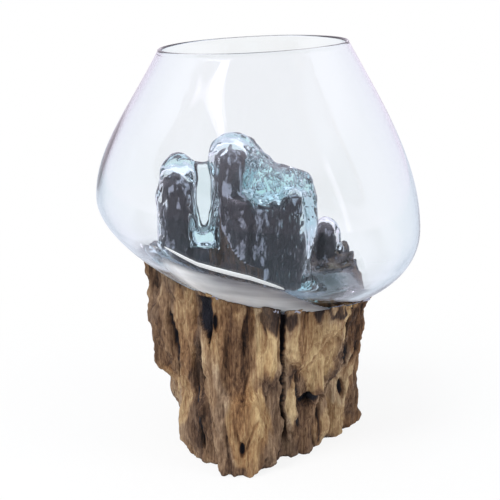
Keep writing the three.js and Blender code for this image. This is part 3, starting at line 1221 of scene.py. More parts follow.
@dataclass
class SmokeAndReflectionFilm:
    """The film under the bowl's foot, from the seat out to where the glass cleared, with a painted
    reflection.

    Angles are in degrees from the front towards the left. A share counts from the film's inner
    edge to its outer one.
    """

    form: BowlForm
    finish: SmokeAndReflectionFinish
    skin: float = 0.05
    thickness: float = 0.12
    columns: int = 360
    rows: int = 48
    cloud: Grain = Grain(SMOKE, 0, (30, 60), 3, 0.35)
    faded: Pair = (1.0, 0.94)

    # How light the film is, which is a painted reflection and painted light: a ground tone, less in
    # front and on the right, more towards the seat where the wood doesn't hide it, and most on the
    # left, where it turns up to the light.
    ground: float = 0.28
    front_loss: float = 0.08
    front_turn: Pair = (-35.0, -15.0)
    seat_painted_reflection: float = 0.50
    seat_shares: Pair = (1.0, 0.50)
    seat_turn: Pair = (-75.0, -40.0)
    left_painted_light: float = 0.80
    left_shares: Pair = (1.0, 0.84)
    left_from: Pair = (8.0, 38.0)
    left_to: Pair = (100.0, 70.0)

    # The film's inner and outer radius and its strength by the angle. It keeps clear of the
    # prongs, which stand near its edge at the left and at the back.
    reach: tuple[tuple[float, float, float, float], ...] = (
        (-180, 56, 76, 0.60), (-162, 56, 74, 0.60), (-156, 54, 59, 0.70),
        (-124, 52, 59, 0.85), (-116, 52, 74, 0.90), (-95, 50, 74, 0.94),
        (-60, 46, 70, 0.94), (-42, 45, 71, 0.92), (-25, 46, 82, 0.90),
        (-9, 52, 95.5, 0.88), (3.4, 56, 98.5, 0.92), (13, 56, 99.5, 0.95),
        (22, 56, 100.5, 0.97), (33, 56, 103, 0.92), (36.5, 56, 104, 0.40),
        (42, 56, 98, 0.12), (68, 58, 92, 0.12), (78, 84, 90, 0),
        (126, 84, 90, 0), (136, 60, 80, 0.45), (180, 56, 76, 0.60),
    )

    def surface(self, outside: float, angle: Array, radius: Array) -> Array:
        """Places outside the underside by so much, by the angle, in radians, and the radius."""
        low, _ = self.form.half_profiles(-outside, 0.0)
        return self.form.turned(angle, radius, np.interp(radius, low[:, 0], low[:, 1]))

    def light(self, degrees: Array, share: Array) -> Array:
        """How light the film is: its painted reflection.

        Args:
            degrees: Angles.
            share: Shares of the way out.

        Returns:
            The ground tone less the front's loss, plus the seat's gain off the left, plus the
            left's gain, each faded in by smooth steps of the angle and the share.
        """
        left = smooth_step(*self.left_from, degrees) * smooth_step(*self.left_to, degrees)
        seen = smooth_step(*self.seat_turn, degrees)
        light = self.ground - self.front_loss * smooth_step(*self.front_turn, degrees)
        light += self.seat_painted_reflection * smooth_step(*self.seat_shares, share) * (1.0 - left) * seen
        return light + self.left_painted_light * smooth_step(*self.left_shares, share) * left

    def build(self) -> Piece:
        """Makes the film, dresses it and puts it on its body."""
        around = np.linspace(-180.0, 180.0, self.columns + 1)[:-1]
        steps = np.meshgrid(around, np.linspace(0.0, 1.0, self.rows))
        degrees, share = (step.ravel() for step in steps)
        inner, outer, strength = columns_at(self.reach, degrees)
        radius = inner + share * (outer - inner)
        near = self.surface(self.skin, np.radians(degrees), radius)
        far = self.surface(self.skin + self.thickness, np.radians(degrees), radius)
        one_side = ring_rows(0, self.rows, self.columns)
        # The rings run clockwise and the profile the other way too, so the faces point outwards.
        rings = np.vstack([one_side, len(near) + one_side[::-1], one_side[:1]])
        shell = Shell(np.vstack([near, far]), wall_faces(rings))
        cover = smooth_step(*self.faded, share) * strength
        cover = np.clip(cover * (1.0 + self.cloud.at(near)), 0.0, 1.0)
        # The film's lightness, a painted reflection, goes into its state.
        light = self.light(degrees, share)
        state = np.column_stack([cover, light, np.zeros(len(near)), np.ones(len(near))])
        piece = shell.to_object("smoke_film_and_painted_reflection", self.finish.material())
        paint(piece, self.finish.attribute, np.vstack([state, state]))
        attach(piece, Body.BOWL.value)
        return piece


@dataclass(frozen=True)
class Oval:
    """An oval in the front of the wood, as seen from the front."""

    EDGE = (1.15, 0.8)

    x: float
    z: float
    half_x: float
    half_z: float

    def share(self, x: Array, z: Array) -> Array:
        """How much of the oval places have: a soft-edged step of their distance in half sizes."""
        away = np.hypot((x - self.x) / self.half_x, (z - self.z) / self.half_z)
        return smooth_step(*self.EDGE, away)


@dataclass(frozen=True)
class Patch(Oval):
    """A place with a tone of its own, which may be charred or stand out a little."""

    tone: float
    warmth: float
    char: float = 0.0
    out: float = 0.0


@dataclass(frozen=True)
class Dent(Oval):
    """A rotted hollow, which is deepest in its middle."""

    EDGE = (1.15, 0.50)

    depth: float


@dataclass(frozen=True)
class Groove:
    """A split in the front of the wood: a line of (x, z, half width), its depth and its shade.

    The shade is how hollow it counts at most, from 0 to 1, and sets its painted shade.
    """

    line: tuple[Triple, ...]
    depth: float
    shade: float = 0.8
    run_out: float = 3.0

    def cut(self, x: Array, z: Array) -> Array:
        """How far the split cuts in, as seen from the front.

        Args:
            x: Places along X.
            z: Heights.

        Returns:
            The depth times one less the cube of the share of the half width, above and below
            which the split runs out over a few millimetres.
        """
        line = sorted((height, middle, half) for middle, height, half in self.line)
        middle, half = columns_at(line, z)
        share = np.clip(np.abs(x - middle) / half, 0.0, 1.0)
        low, high = line[0][0], line[-1][0]
        ends = smooth_step(low - self.run_out, low + self.run_out, z)
        ends = ends * smooth_step(high + self.run_out, high - self.run_out, z)
        return self.depth * (1.0 - share**3) * ends


@dataclass(frozen=True)
class Swelling:
    """Where the wood stands out from its two outlines, or lies back where out is below zero.

    The spreads are how far it reaches round the block, in degrees, and along it. The higher its
    abruptness, the flatter its middle and the steeper its upper and lower ends.
    """

    angle: float
    height: float
    spread_angle: float
    spread_height: float
    out: float
    abruptness: float = 2.0

    def at(self, degrees: Array, z: Array) -> Array:
        """How far the wood stands out: a bell over the angle from +X and over the height."""
        aside = ((degrees - self.angle + 180.0) % 360.0 - 180.0) / self.spread_angle
        climb = np.abs((z - self.height) / self.spread_height)
        return self.out * np.exp(-(aside**2) - climb**self.abruptness)


@dataclass(frozen=True)
class Flute:
    """Shallow flutes that run up round the whole block."""

    count: int
    depth: float
    turn: float
    twist: float


@dataclass(frozen=True)
class Relief:
    """The relief of the weathered sides: layers of noise, and how they make it, in millimetres."""

    bend: Grain = Grain(WOOD, 300, (26, 34), 2, 2.2)
    ridges: Grain = Grain(WOOD, 70, (15, 75), 3, ridged=True)
    ridge_height: float = 3.0
    ridge_level: float = 0.55
    plates: Grain = Grain(WOOD, 150, (12, 44), 3, 3.2)
    plate_edge: Pair = (0.25, 0.75)
    plate_height: float = 1.1
    splinters: Grain = Grain(WOOD, 500, (3.6, 40), 2, 1.15, True)
    crumbs: Grain = Grain(WOOD, 900, (2.6, 6), 2, 0.55)
    sunk: float = 0.8
    front_edge: Pair = (0.0, 0.35)
    dent_bend: float = 0.5
    # A split this deep takes its full painted shade.
    full_shade_depth: float = 3.0
    foot_wear: Grain = Grain(WOOD, 3300, (9, 9), 2)
    foot_edge: float = 2.5
    foot_share: float = 1.3
    foot_rise: Pair = (0.0, 12.0)


@dataclass(frozen=True)
class SideTones:
    """How light, warm and charred the sides are, with painted shade in the hollows and on low relief:
    layers of noise and the weight of each.
    """

    tone: float = 0.50
    streaks: Grain = Grain(WOOD, 1200, (9, 90), 3)
    streak_weight: float = 0.34
    areas: Grain = Grain(WOOD, 1500, (30, 55), 2, 0.24)
    warmth: float = 0.45
    warm_areas: Grain = Grain(WOOD, 1800, (24, 80), 2, 0.8)

    # The edges of the patches wander, and a patch hides most of the plain tone.
    bend: Grain = Grain(WOOD, 2100, (9, 26), 3, 3)
    climb: Grain = Grain(WOOD, 2400, (5, 30), 2, 7)
    patch_cover: float = 0.85
    patch_streaks: float = 0.18

    # The char under the seat comes down in tongues, more so away from the front.
    lick: float = 9.0
    licks: Grain = Grain(WOOD, 2700, (13, 200), 2, 16)
    lick_edge: Pair = (0.0, -6.0)
    front_loss: float = 0.75
    # Painted shade: low relief is darker and raised relief lighter, and the hollows darken to near
    # black, partly through the char colour.
    relief_shade_weight: float = 0.055
    relief_shade_most: float = 3.0
    contrast: float = 0.86
    hollow_shade_loss: float = 0.92
    hollow_shade_dark: float = 0.72
    hollow_shade_edge: Pair = (0.45, 0.8)
    deep_shade_dark: float = 0.14
    deep_shade_edge: Pair = (0.8, 1.0)


@dataclass(frozen=True)
class BurntSeat:
    """The char of the seat and the prongs: its pits, its tones, and the ash on it, which also holds
    painted glints and a painted reflection.
    """

    pits: Grain = Grain(WOOD, 5, (7, 22), 3, ridged=True)
    pit_depth: float = 1.3
    cracks: Grain = Grain(WOOD, 61, (3, 7), 2, ridged=True)
    crack_depth: float = 0.7
    scoops: Grain = Grain(WOOD, 35, (14, 14), 2)
    scoop_depth: float = 0.9

    stain: Grain = Grain(WOOD, 700, (16, 16), 3)
    char: float = 0.62
    char_rise: Pair = (1.0, 12.0)
    stain_char: float = 0.9
    tone: float = 0.32
    tones: Grain = Grain(WOOD, 800, (8, 30), 2, 0.5)
    warmth: float = 0.4
    stain_warmth: float = 0.5

    # Ash lies in front of a line across the seat, which is also a painted pale reflection, and in
    # flecks and round the neck of the tall prong, which are also painted glints.
    front_ash_and_reflection_most: float = 0.95
    ash_front: Pair = (28.0, -16.0)
    ash_rise: Pair = (16.0, 2.0)
    ash_least: float = 0.12
    ash_and_glint_flecks: Grain = Grain(WOOD, 1300, (5, 14), 3)
    fleck_edge: Pair = (-0.10, 0.50)
    fleck_ash_and_glint: float = 0.40
    neck_height: float = 184.0
    neck_spread: float = 5.0
    neck_ash_and_glint: float = 0.22

    # The lower left edge of the big prong's char, as (height, x). Left of it the wood is bare in
    # front, and a pale line runs along it, which is a painted highlight.
    char_edge: tuple[Pair, ...] = (
        (126, 4), (128.6, -2.5), (135.6, -11.6), (144.8, -20.2), (157.5, -25.5), (170, -29.5),
        (176, -40),
    )
    bare_side: Pair = (0.8, -0.8)
    bare_left: Pair = (-36.0, -34.0)
    bare_back: Pair = (12.0, 10.0)
    bare_tone: float = 0.12
    bare_warmth: float = 0.35
    bare_ash_loss: float = 0.8
    line_highlight: float = 0.8
    line_spread: float = 0.9

    def depth(self, points: Array) -> Array:
        """How deep the pits are: the crests' squares and the scoops, each times its depth."""
        depth = self.pit_depth * self.pits.at(points) ** 2
        depth += self.crack_depth * self.cracks.at(points) ** 2
        return depth + self.scoop_depth * np.clip(self.scoops.at(points), 0.0, 1.0)

    def state(self, points: Array, rise: Array) -> Array:
        """The state of the wood in the seat: tone, warmth, char, and ash with painted glints and a
        painted reflection.

        Args:
            points: Places on the seat and the prongs.
            rise: How far each lies above the blown shape's underside.

        Returns:
            Rows of (tone, warmth, char, ash), each from 0 to 1.
        """
        stain = self.stain.at(points)
        burnt = smooth_step(*self.char_rise, rise) + self.char + self.stain_char * stain
        char = np.clip(burnt, 0.0, 1.0)
        tone = self.tone + self.tones.at(points)
        warmth = self.warmth + self.stain_warmth * stain
        # The ash in front is also a painted pale reflection; the flecks and the neck band are painted
        # glints.
        front = smooth_step(*self.ash_front, points[:, 1])
        front_ash_and_reflection = self.front_ash_and_reflection_most * front * smooth_step(*self.ash_rise, rise)
        ash_and_glint_flecks = smooth_step(*self.fleck_edge, self.ash_and_glint_flecks.at(points))
        neck = np.exp(-(((points[:, 2] - self.neck_height) / self.neck_spread) ** 2))
        thin_ash_and_glints = self.ash_least + self.fleck_ash_and_glint * ash_and_glint_flecks + self.neck_ash_and_glint * neck
        ash_and_glints = np.maximum(front_ash_and_reflection, thin_ash_and_glints)
        (edge,) = columns_at(self.char_edge, points[:, 2])
        beside = points[:, 0] - edge
        near = smooth_step(*self.bare_left, points[:, 0])
        bare = smooth_step(*self.bare_side, beside) * near
        line = np.exp(-((beside / self.line_spread) ** 2)) * near
        bare *= smooth_step(*self.bare_back, points[:, 1])
        char *= 1.0 - bare
        tone += (self.bare_tone - tone) * bare
        warmth += (self.bare_warmth - warmth) * bare
        # The pale line along the char's edge is a painted highlight.
        ash_and_glints = np.maximum(ash_and_glints * (1.0 - self.bare_ash_loss * bare), self.line_highlight * line)
        ash_and_glints = np.maximum(ash_and_glints, front_ash_and_reflection)
        return np.clip(np.column_stack([tone, warmth, char, ash_and_glints]), 0.0, 1.0)


@dataclass(frozen=True)
class RootFinish:
    """Weathered root wood, charred where it touched the hot glass."""

    attribute: str = "wood_state"
    # The char's faint blue cast is a painted reflection. The ash's colour is also that of the painted
    # glints and reflection.
    burnt: Triple = (0.011, 0.012, 0.018)
    ash_and_glints: Triple = (0.46, 0.47, 0.58)

    # Colours from dark to light, for weathered grey wood and for fresh warm wood.
    grey_steps: Steps = (
        (0.0, (0.020, 0.014, 0.011)),
        (0.25, (0.085, 0.050, 0.033)),
        (0.5, (0.205, 0.130, 0.082)),
        (0.75, (0.35, 0.242, 0.155)),
        (1.0, (0.54, 0.42, 0.28)),
    )
    warm_steps: Steps = (
        (0.0, (0.024, 0.012, 0.008)),
        (0.25, (0.130, 0.062, 0.028)),
        (0.5, (0.285, 0.152, 0.067)),
        (0.75, (0.46, 0.30, 0.145)),
        (1.0, (0.66, 0.48, 0.25)),
    )

    # Noise along the grain, as waves per metre and finer layers, and how rough those are.
    fibres: tuple[Triple, float] = ((900.0, 900.0, 60.0), 5.0)
    streaks: tuple[Triple, float] = ((260.0, 260.0, 14.0), 4.0)
    specks: tuple[Triple, float] = ((520.0, 520.0, 240.0), 4.0)
    # The flecks break the ash into painted glints.
    ash_and_glint_flecks: tuple[Triple, float] = ((420.0, 420.0, 150.0), 3.0)
    grain_roughness: float = 0.6
    char_edge: Pair = (0.32, 0.78)
    ash_edge: Pair = (0.42, 0.66)
    wood_and_char_roughness: Pair = (0.82, 0.42)
    specular: float = 0.35
    bump: float = 0.95
    bump_metres: float = 0.0012

    def ramp(self, nodes: Nodes, steps: Steps, factor: Socket) -> Socket:
        """Adds a colour ramp.

        Args:
            nodes: The material's nodes.
            steps: Places from 0 to 1 with their colours.
            factor: What the ramp reads.

        Returns:
            The ramp's colour output.
        """
        node = nodes.add("ShaderNodeValToRGB", {0: factor})
        elements = node.color_ramp.elements
        while len(elements) > 1:
            elements.remove(elements[-1])
        elements[0].position, elements[0].color = steps[0][0], (*steps[0][1], 1.0)
        for place, colour in steps[1:]:
            elements.new(place).color = (*colour, 1.0)
        return node.outputs[0]

    def material(self) -> Material:
        """Makes the material from the piece's own state: tone, warmth, char and ash, which carry
        painted shade, glints and reflection.
        """
        material, nodes = new_material("root_wood")
        (tone, warmth, char), ash_and_glints = state_of(nodes, self.attribute)
        layers = (self.fibres, self.streaks, self.specks, self.ash_and_glint_flecks)
        fibre, streak, speck, ash_and_glint_fleck = (nodes.noise(*layer, self.grain_roughness) for layer in layers)
        shade = nodes.uneven(tone, (fibre, 1.0), (streak, 0.48), (speck, 0.62))
        grey = self.ramp(nodes, self.grey_steps, shade)
        warm = self.ramp(nodes, self.warm_steps, shade)
        coaled = nodes.uneven(char, (streak, 0.5), (speck, 0.3))
        charred = nodes.ranged(coaled, self.char_edge)
        ash_and_glint_share = nodes.ranged(nodes.uneven(ash_and_glints, (ash_and_glint_fleck, 0.9)), self.ash_edge)
        colour = nodes.mixed(charred, nodes.mixed(warmth, grey, warm), self.burnt)
        height = nodes.uneven(fibre, (streak, 1.2), (speck, 0.5))
        depth = {"Height": height, "Strength": self.bump, "Distance": self.bump_metres}
        look = {
            "Base Color": nodes.mixed(ash_and_glint_share, colour, self.ash_and_glints),
            "Roughness": nodes.stretched(charred, self.wood_and_char_roughness),
            "Specular IOR Level": self.specular,
            "Normal": nodes.add("ShaderNodeBump", depth).outputs[0],
        }
        wood = nodes.add("ShaderNodeBsdfPrincipled", look)
        nodes.add("ShaderNodeOutputMaterial", {"Surface": wood.outputs[0]})
        return material


@dataclass
class RootWood:
    """The block of root wood: its weathered sides, burnt seat and charred prongs."""

    drape: Drape
    finish: RootFinish
    relief: Relief = Relief()
    tones: SideTones = SideTones()
    seat: BurntSeat = BurntSeat()

    # The outlines of the foot and of the top, counter-clockwise from the front, as (x, y).
    foot_outline: tuple[Pair, ...] = (
        (-13, -62), (4, -55), (18, -38), (38, -18), (54, 2), (70, 15), (77, 30), (71, 48),
        (52, 62), (20, 69), (-14, 67), (-41, 54), (-54, 28), (-55, -3), (-45, -35), (-31, -54),
    )
    top_outline: tuple[Pair, ...] = (
        (-20, -56), (7, -62), (33, -62), (55, -56), (68, -42), (73, -15), (75, 22), (74, 50),
        (60, 74), (25, 82), (-16, 80), (-53, 65), (-71, 42), (-75, -3), (-56, -34), (-37, -55),
    )
    top_outline_height: float = 120.0
    block_top: float = 148.0
    flare_growth: float = 1.6
    over_top: float = 6.0
    cells: int = 96
    layer: float = 1.6
    grid_top: float = 116.0
    columns: int = 440
    rows: int = 156
    levels: int = 120
    evening: int = 3

    # Where the columns stand closer: in front, by places along the outlines, and at the crack.
    front_marks: tuple[Pair, Pair] = ((5.5, 3.5), (11.5, 13.5))
    front_more: float = 0.7
    crack_mark: float = 1.6
    crack_spread: float = 0.45
    facing_edge: Pair = (-0.1, 0.3)
    swellings: tuple[Swelling, ...] = (
        Swelling(186, 80, 24, 28, 9.5, 5),
        Swelling(182, 122, 16, 5, -3),
        Swelling(10, 48, 24, 26, -4),
        Swelling(-104, 34, 20, 32, 3),
        Swelling(100, 60, 30, 34, 5),
    )
    flutes: tuple[Flute, ...] = (
        Flute(7, 1.5, 0.4, 0.004),
        Flute(13, 0.9, 1.9, -0.006),
        Flute(19, 1.5, 0.8, 0.0015),
        Flute(11, 1.1, 2.6, 0.011),
        Flute(5, 1.1, 4, -0.022),
    )
    dents: tuple[Dent, ...] = (
        Dent(-28, 107, 2, 6.5, 5),
        Dent(44, 43, 7.5, 4.8, 9),
        Dent(34.5, 42.5, 5.5, 5, 6),
        Dent(59.5, 40, 2, 8, 5),
        Dent(-10.5, 20, 2, 6, 1.8),
    )
    grooves: tuple[Groove, ...] = (
        Groove(
            (
                (16.6, 150, 1.9), (16.4, 109, 1.8), (14.9, 84, 1.6), (15.8, 64, 1.5),
                (15.9, 45, 1.2), (18, 32, 0.9), (18, 20, 0.8), (14.4, 9.5, 0.8),
                (11.7, -4, 0.8),
            ),
            9,
        ),
        Groove(
            ((-35.5, 124, 5.6), (-35, 112, 6), (-34.2, 103, 4.2), (-33.4, 94, 1)),
            12,
            1,
        ),
        Groove(
            ((-62, 106, 1.2), (-58.5, 92, 1.6), (-57.6, 64, 1.8), (-56, 52, 1)),
            4,
        ),
        Groove(((-17, 46, 0.8), (-14.5, 32, 1.2), (-10.5, 16, 1)), 1.4),
        Groove(((-2, 40, 0.8), (-5.5, 28, 1.1), (-10, 16, 1)), 1.3),
        Groove(((-7, 124, 1.5), (-8.5, 104, 2.2), (-9.5, 84, 1.2)), 1.3),
        Groove(((62.5, 116, 1), (62, 92, 1.4), (60, 60, 1.4)), 3),
        Groove(((26.5, 60, 1), (28, 44, 1.8), (27, 26, 1)), 3.2),
        Groove(((-44, 60, 0.9), (-42, 36, 1.6), (-38, 12, 1)), 2.8),
        Groove(((-24, 52, 0.9), (-22, 30, 1.5), (-20, 12, 1)), 1.4),
        Groove(((40, 34, 0.9), (42, 20, 1.4), (41, 4, 1)), 2.2),
    )
    patches: tuple[Patch, ...] = (
        Patch(-63, 120, 13, 8, 0.30, 0.2, 0.25),
        Patch(-66, 90, 9, 27, 0.44, 0.35),
        Patch(-50, 96, 8, 32, 0.64, 0.75),
        Patch(-24, 104, 9, 24, 0.58, 0.6),
        Patch(-14, 82, 11, 34, 0.38, 0.55),
        Patch(-8, 104, 3.5, 18, 0.20, 0.9),
        Patch(4.5, 90, 8.5, 24, 0.80, 0.85, 0, 1),
        Patch(6.5, 79, 5, 9, 0.92, 0.95),
        Patch(6.5, 111, 9, 11, 0.16, 0.2, 0.62),
        Patch(20.5, 109, 4.5, 9, 0.2, 0.2, 0.60),
        Patch(46, 113, 16, 4, 0.16, 0.2, 0.62),
        Patch(38, 86, 19, 24, 0.76, 0.8, 0, 1),
        Patch(29, 88, 2.5, 20, 0.45, 0.7),
        Patch(41, 64, 10, 15, 0.93, 0.85, 0, 1.6),
        Patch(50, 56, 5, 7, 0.30, 0.1),
        Patch(61, 95, 1.8, 20, 0.88, 0.7),
        Patch(69, 84, 7, 36, 0.24, 0.75),
        Patch(21.7, 46, 4.5, 18, 0.90, 0.8, 0, 1.6),
        Patch(32.5, 20, 10, 22, 0.24, 0.35),
        Patch(52, 16, 15, 17, 0.72, 0.75, 0, 0.8),
        Patch(70, 24, 7, 20, 0.44, 0.2),
        Patch(10.4, 36, 6.5, 32, 0.42, 0.1),
        Patch(0, 51.7, 4.5, 7, 0.90, 0.8, 0, 1.4),
        Patch(-8.4, 34, 15, 28, 0.52, 1, 0, 0.8),
        Patch(-18.5, 5, 10, 6, 0.18, 0.2),
        Patch(-51, 48, 8, 22, 0.74, 0.75),
        Patch(-43, 24, 5.5, 15, 0.26, 0.15),
        Patch(-30, 26, 9, 25, 0.46, 0.15),
        Patch(-34, 62, 8, 14, 0.40, 0.4),
    )

    @staticmethod
    def outline(corners: tuple[Pair, ...], marks: Array) -> Array:
        """A smooth closed outline through its corners.

        Args:
            corners: The outline's points.
            marks: Places along it, in corners.

        Returns:
            Rows of (x, y) on the cubic that runs through each corner in the direction from the
            corner before it to the corner after it.
        """
        points = np.array(corners, float)
        start = np.floor(marks).astype(int)
        t = (marks - start)[:, None]
        before, here, ahead, beyond = (points[(start + k) % len(points)] for k in (-1, 0, 1, 2))
        return here + 0.5 * t * (
            ahead - before
            + t * (2 * before - 5 * here + 4 * ahead - beyond)
            + t * t * (3 * (here - ahead) + beyond - before)
        )

    def column_marks(self) -> Array:
        """Places of the columns along the outlines, closer together in front and at the crack."""
        marks = np.linspace(0.0, len(self.foot_outline), 4001)
        ends = [smooth_step(*end, marks) for end in self.front_marks]
        crack = np.exp(-(((marks - self.crack_mark) / self.crack_spread) ** 2))
        density = 1.0 + self.front_more * (ends[0] + ends[1]) + crack
        running = np.concatenate([[0.0], np.cumsum(0.5 * (density[1:] + density[:-1]))])
        count = self.columns
        return np.interp(np.arange(count) * running[-1] / count, running, marks)

    def plain_sides(self, marks: Array, heights: Array) -> Array:
        """The sides before their relief, as a grid of points.

        Args:
            marks: Places of the columns along the outlines.
            heights: Heights of the rows.

        Returns:
            An array of rows by columns by 3. A row's outline lies between the foot's and the
            top's, by the share of the height to the power of the flare's growth.
        """
        foot = self.outline(self.foot_outline, marks)
        top = self.outline(self.top_outline, marks)
        share = np.clip(heights / self.top_outline_height, 0.0, 1.0) ** self.flare_growth
        plan = foot[None] + (top - foot)[None] * share[:, None, None]
        z = np.broadcast_to(heights[:, None], plan.shape[:2])
        angle = np.arctan2(plan[..., 1], plan[..., 0])
        out = np.zeros_like(angle)
        for swelling in self.swellings:
            out += swelling.at(np.degrees(angle), z)
        for flute in self.flutes:
            out += flute.depth * np.sin(flute.count * (angle + flute.twist * z) + flute.turn)
        length = np.linalg.norm(plan, axis=2)
        plan = plan * ((length + out) / length)[..., None]
        return np.concatenate([plan, z[..., None]], axis=2)

    @staticmethod
    def grid_normals(grid: Array) -> Array:
        """Outward unit normals of a grid that closes round its columns."""
        around = np.roll(grid, -1, axis=1) - np.roll(grid, 1, axis=1)
        up = np.gradient(grid, axis=0)
        normal = np.cross(around, up)
        return normal / np.linalg.norm(normal, axis=2, keepdims=True)

    def side_relief(self, flat: Array, facing: Array) -> tuple[Array, Array]:
        """How far the weathered surface stands out from the plain sides.

        Args:
            flat: Places on the plain sides, one row each.
            facing: How much each place faces the front, from 0 to 1.

        Returns:
            The height of the relief along the normal, and how hollow each place is, from 0 to 1, which
            sets its painted shade.
            The plates are terraces: whole steps of the noise, joined by smooth steps.
        """
        relief = self.relief
        x, z = flat[:, 0], flat[:, 2]
        bend = relief.bend.at(flat)
        ridges = relief.ridge_height * (relief.ridges.at(flat) - relief.ridge_level)
        plates = relief.plates.at(flat)
        step = np.floor(plates)
        terraces = relief.plate_height * (step + smooth_step(*relief.plate_edge, plates - step))
        height = ridges + terraces + relief.splinters.at(flat) + relief.crumbs.at(flat)
        height -= height.mean() + relief.sunk
        hollow = np.zeros(len(flat))
        in_front = smooth_step(*relief.front_edge, facing)
        for dent in self.dents:
            share = dent.share(x + relief.dent_bend * bend, z)
            height -= dent.depth * share * facing
            hollow = np.maximum(hollow, share * in_front)
        for groove in self.grooves:
            cut = groove.cut(x, z) * facing
            height -= cut
            hollow = np.maximum(hollow, np.clip(cut / relief.full_shade_depth, 0.0, groove.shade))
        for patch in self.patches:
            if patch.out > 0.0:
                height += patch.out * patch.share(x + bend, z) * facing
        worn = relief.foot_edge * (relief.foot_share + relief.foot_wear.at(flat))
        height -= worn * np.clip(1.0 - z / worn.clip(0.5), 0.0, 1.0) ** 2
        return height, hollow

    def side_state(self, flat: Array, facing: Array, relief: tuple[Array, Array]) -> Array:
        """The state of the wood on the sides: tone, warmth and char, with painted shade in the hollows
        and on low relief.

        Args:
            flat: Places on the plain sides, one row each.
            facing: How much each place faces the front, from 0 to 1.
            relief: The relief's height, and how hollow each place is.

        Returns:
            Rows of (tone, warmth, char), each from 0 to 1.
        """
        height, hollow = relief
        look = self.tones
        x, y, z = flat.T
        streaks = look.streaks.at(flat)
        tone = look.tone + look.streak_weight * streaks + look.areas.at(flat)
        warmth = look.warmth + look.warm_areas.at(flat)
        char = np.zeros(len(flat))
        bend, climb = look.bend.at(flat), look.climb.at(flat)
        for patch in self.patches:
            share = patch.share(x + bend, z + climb) * facing * look.patch_cover
            tone += (patch.tone + look.patch_streaks * streaks - tone) * share
            warmth += (patch.warmth - warmth) * share
            char += (patch.char - char) * share
        below = self.drape.form.floor(x, y) - z
        lick = look.lick + look.licks.at(flat)
        licked = smooth_step(*look.lick_edge, below - lick) * (1.0 - facing * look.front_loss)
        char = np.maximum(char, licked)
        # Painted shade: the tone follows the relief, and the hollows darken and take the char colour.
        tone += look.relief_shade_weight * np.clip(height, -look.relief_shade_most, look.relief_shade_most)
        tone = (0.5 + look.contrast * (tone - 0.5)) * (1.0 - look.hollow_shade_loss * hollow)
        shade_dark = look.hollow_shade_dark + look.deep_shade_dark * smooth_step(*look.deep_shade_edge, hollow)
        char = np.maximum(char, smooth_step(*look.hollow_shade_edge, hollow) * shade_dark)
        return np.clip(np.column_stack([tone, warmth, char]), 0.0, 1.0)

    def sides(self) -> tuple[Array, Array]:
        """The weathered sides, cut off at the seat.

        Returns:
            The grid of points, rows by columns by 3, and their states as a like grid.
        """
        heights = np.linspace(0.0, self.block_top + self.over_top, self.rows)
        plain = self.plain_sides(self.column_marks(), heights)
        normal = self.grid_normals(plain)
        facing = smooth_step(*self.facing_edge, -normal[..., 1]).ravel()
        flat = plain.reshape(-1, 3)
        relief = self.side_relief(flat, facing)
        state = self.side_state(flat, facing, relief).reshape(plain.shape)
        flat_normal = normal.reshape(-1, 3).copy()
        flat_normal[:, 2] *= smooth_step(*self.relief.foot_rise, flat[:, 2])
        rough = (flat + flat_normal * relief[0][:, None]).reshape(plain.shape)
        rough[0, :, 2] = 0.0
        rough[..., 2] = np.maximum(rough[..., 2], 0.0)
        seat = self.drape.form.floor(rough[..., 0].ravel(), rough[..., 1].ravel())
        below = seat.reshape(rough.shape[:2]) - self.drape.gap - rough[..., 2]
        top = np.argmax(below < 0.0, axis=0)
        columns = np.arange(rough.shape[1])
        before, after = below[top - 1, columns], below[top, columns]
        last = top - 1 + before / (before - after)
        rows = np.linspace(0.0, 1.0, self.levels)[:, None] * last[None]
        low = np.minimum(np.floor(rows).astype(int), len(heights) - 2)
        share = (rows - low)[..., None]
        points, states = (
            grid[low, columns] * (1.0 - share) + grid[low + 1, columns] * share
            for grid in (rough, state)
        )
        ring = points[-1]
        ring[:, 2] = self.drape.form.floor(ring[:, 0], ring[:, 1]) - self.drape.gap
        return points, states

    def seat_patch(self, ring: Array) -> tuple[Shell, Array, int]:
        """The seat and its prongs, inside the sides' top ring.

        Args:
            ring: The sides' top ring.

        Returns:
            The patch, its states, and the index at which the top ring's points start.
        """
        form = self.drape.form
        grid = RoundGrid(self.cells, self.layer, self.grid_top)
        disc = grid.plan()
        middle = ring[:, :2].mean(axis=0)
        reach = ring[:, :2] - middle
        ring_turn = np.arctan2(reach[:, 1], reach[:, 0]) % (2.0 * math.pi)
        order = np.roll(np.arange(len(ring)), -np.argmin(ring_turn))
        ring_turn = np.maximum.accumulate(np.unwrap(ring_turn[order]))
        length = np.hypot(*reach.T)[order]
        turn = np.arctan2(disc[..., 1], disc[..., 0]) % (2.0 * math.pi)
        scale = np.interp(turn, ring_turn, length, period=2.0 * math.pi)
        plan = middle + disc * scale[..., None]
        seat = form.floor(*plan.reshape(-1, 2).T).reshape(turn.shape) - self.drape.gap
        places, above = grid.places(plan, seat)
        distance = self.drape.wood_distance(places, above)
        drawn = Drawn.at_zero(grid.settled(distance, above), places)
        edge, edge_turn = drawn.turned_edge(middle)
        start = len(drawn.points)
        faces = [drawn.faces, stitched(edge, edge_turn, start + order, ring_turn)]
        shell = Shell(np.vstack([drawn.points, ring]), np.vstack(faces))
        rise = shell.points[:, 2] - form.floor(*shell.points[:, :2].T)
        free = np.ones(len(shell.points))
        free[start:] = 0.0
        free[edge] = 0.0
        shell.evened(free, self.evening)
        points = shell.points
        pits = self.seat.depth(points) * free
        shell.points = points - shell.normals() * pits[:, None]
        return shell, self.seat.state(points, rise), start

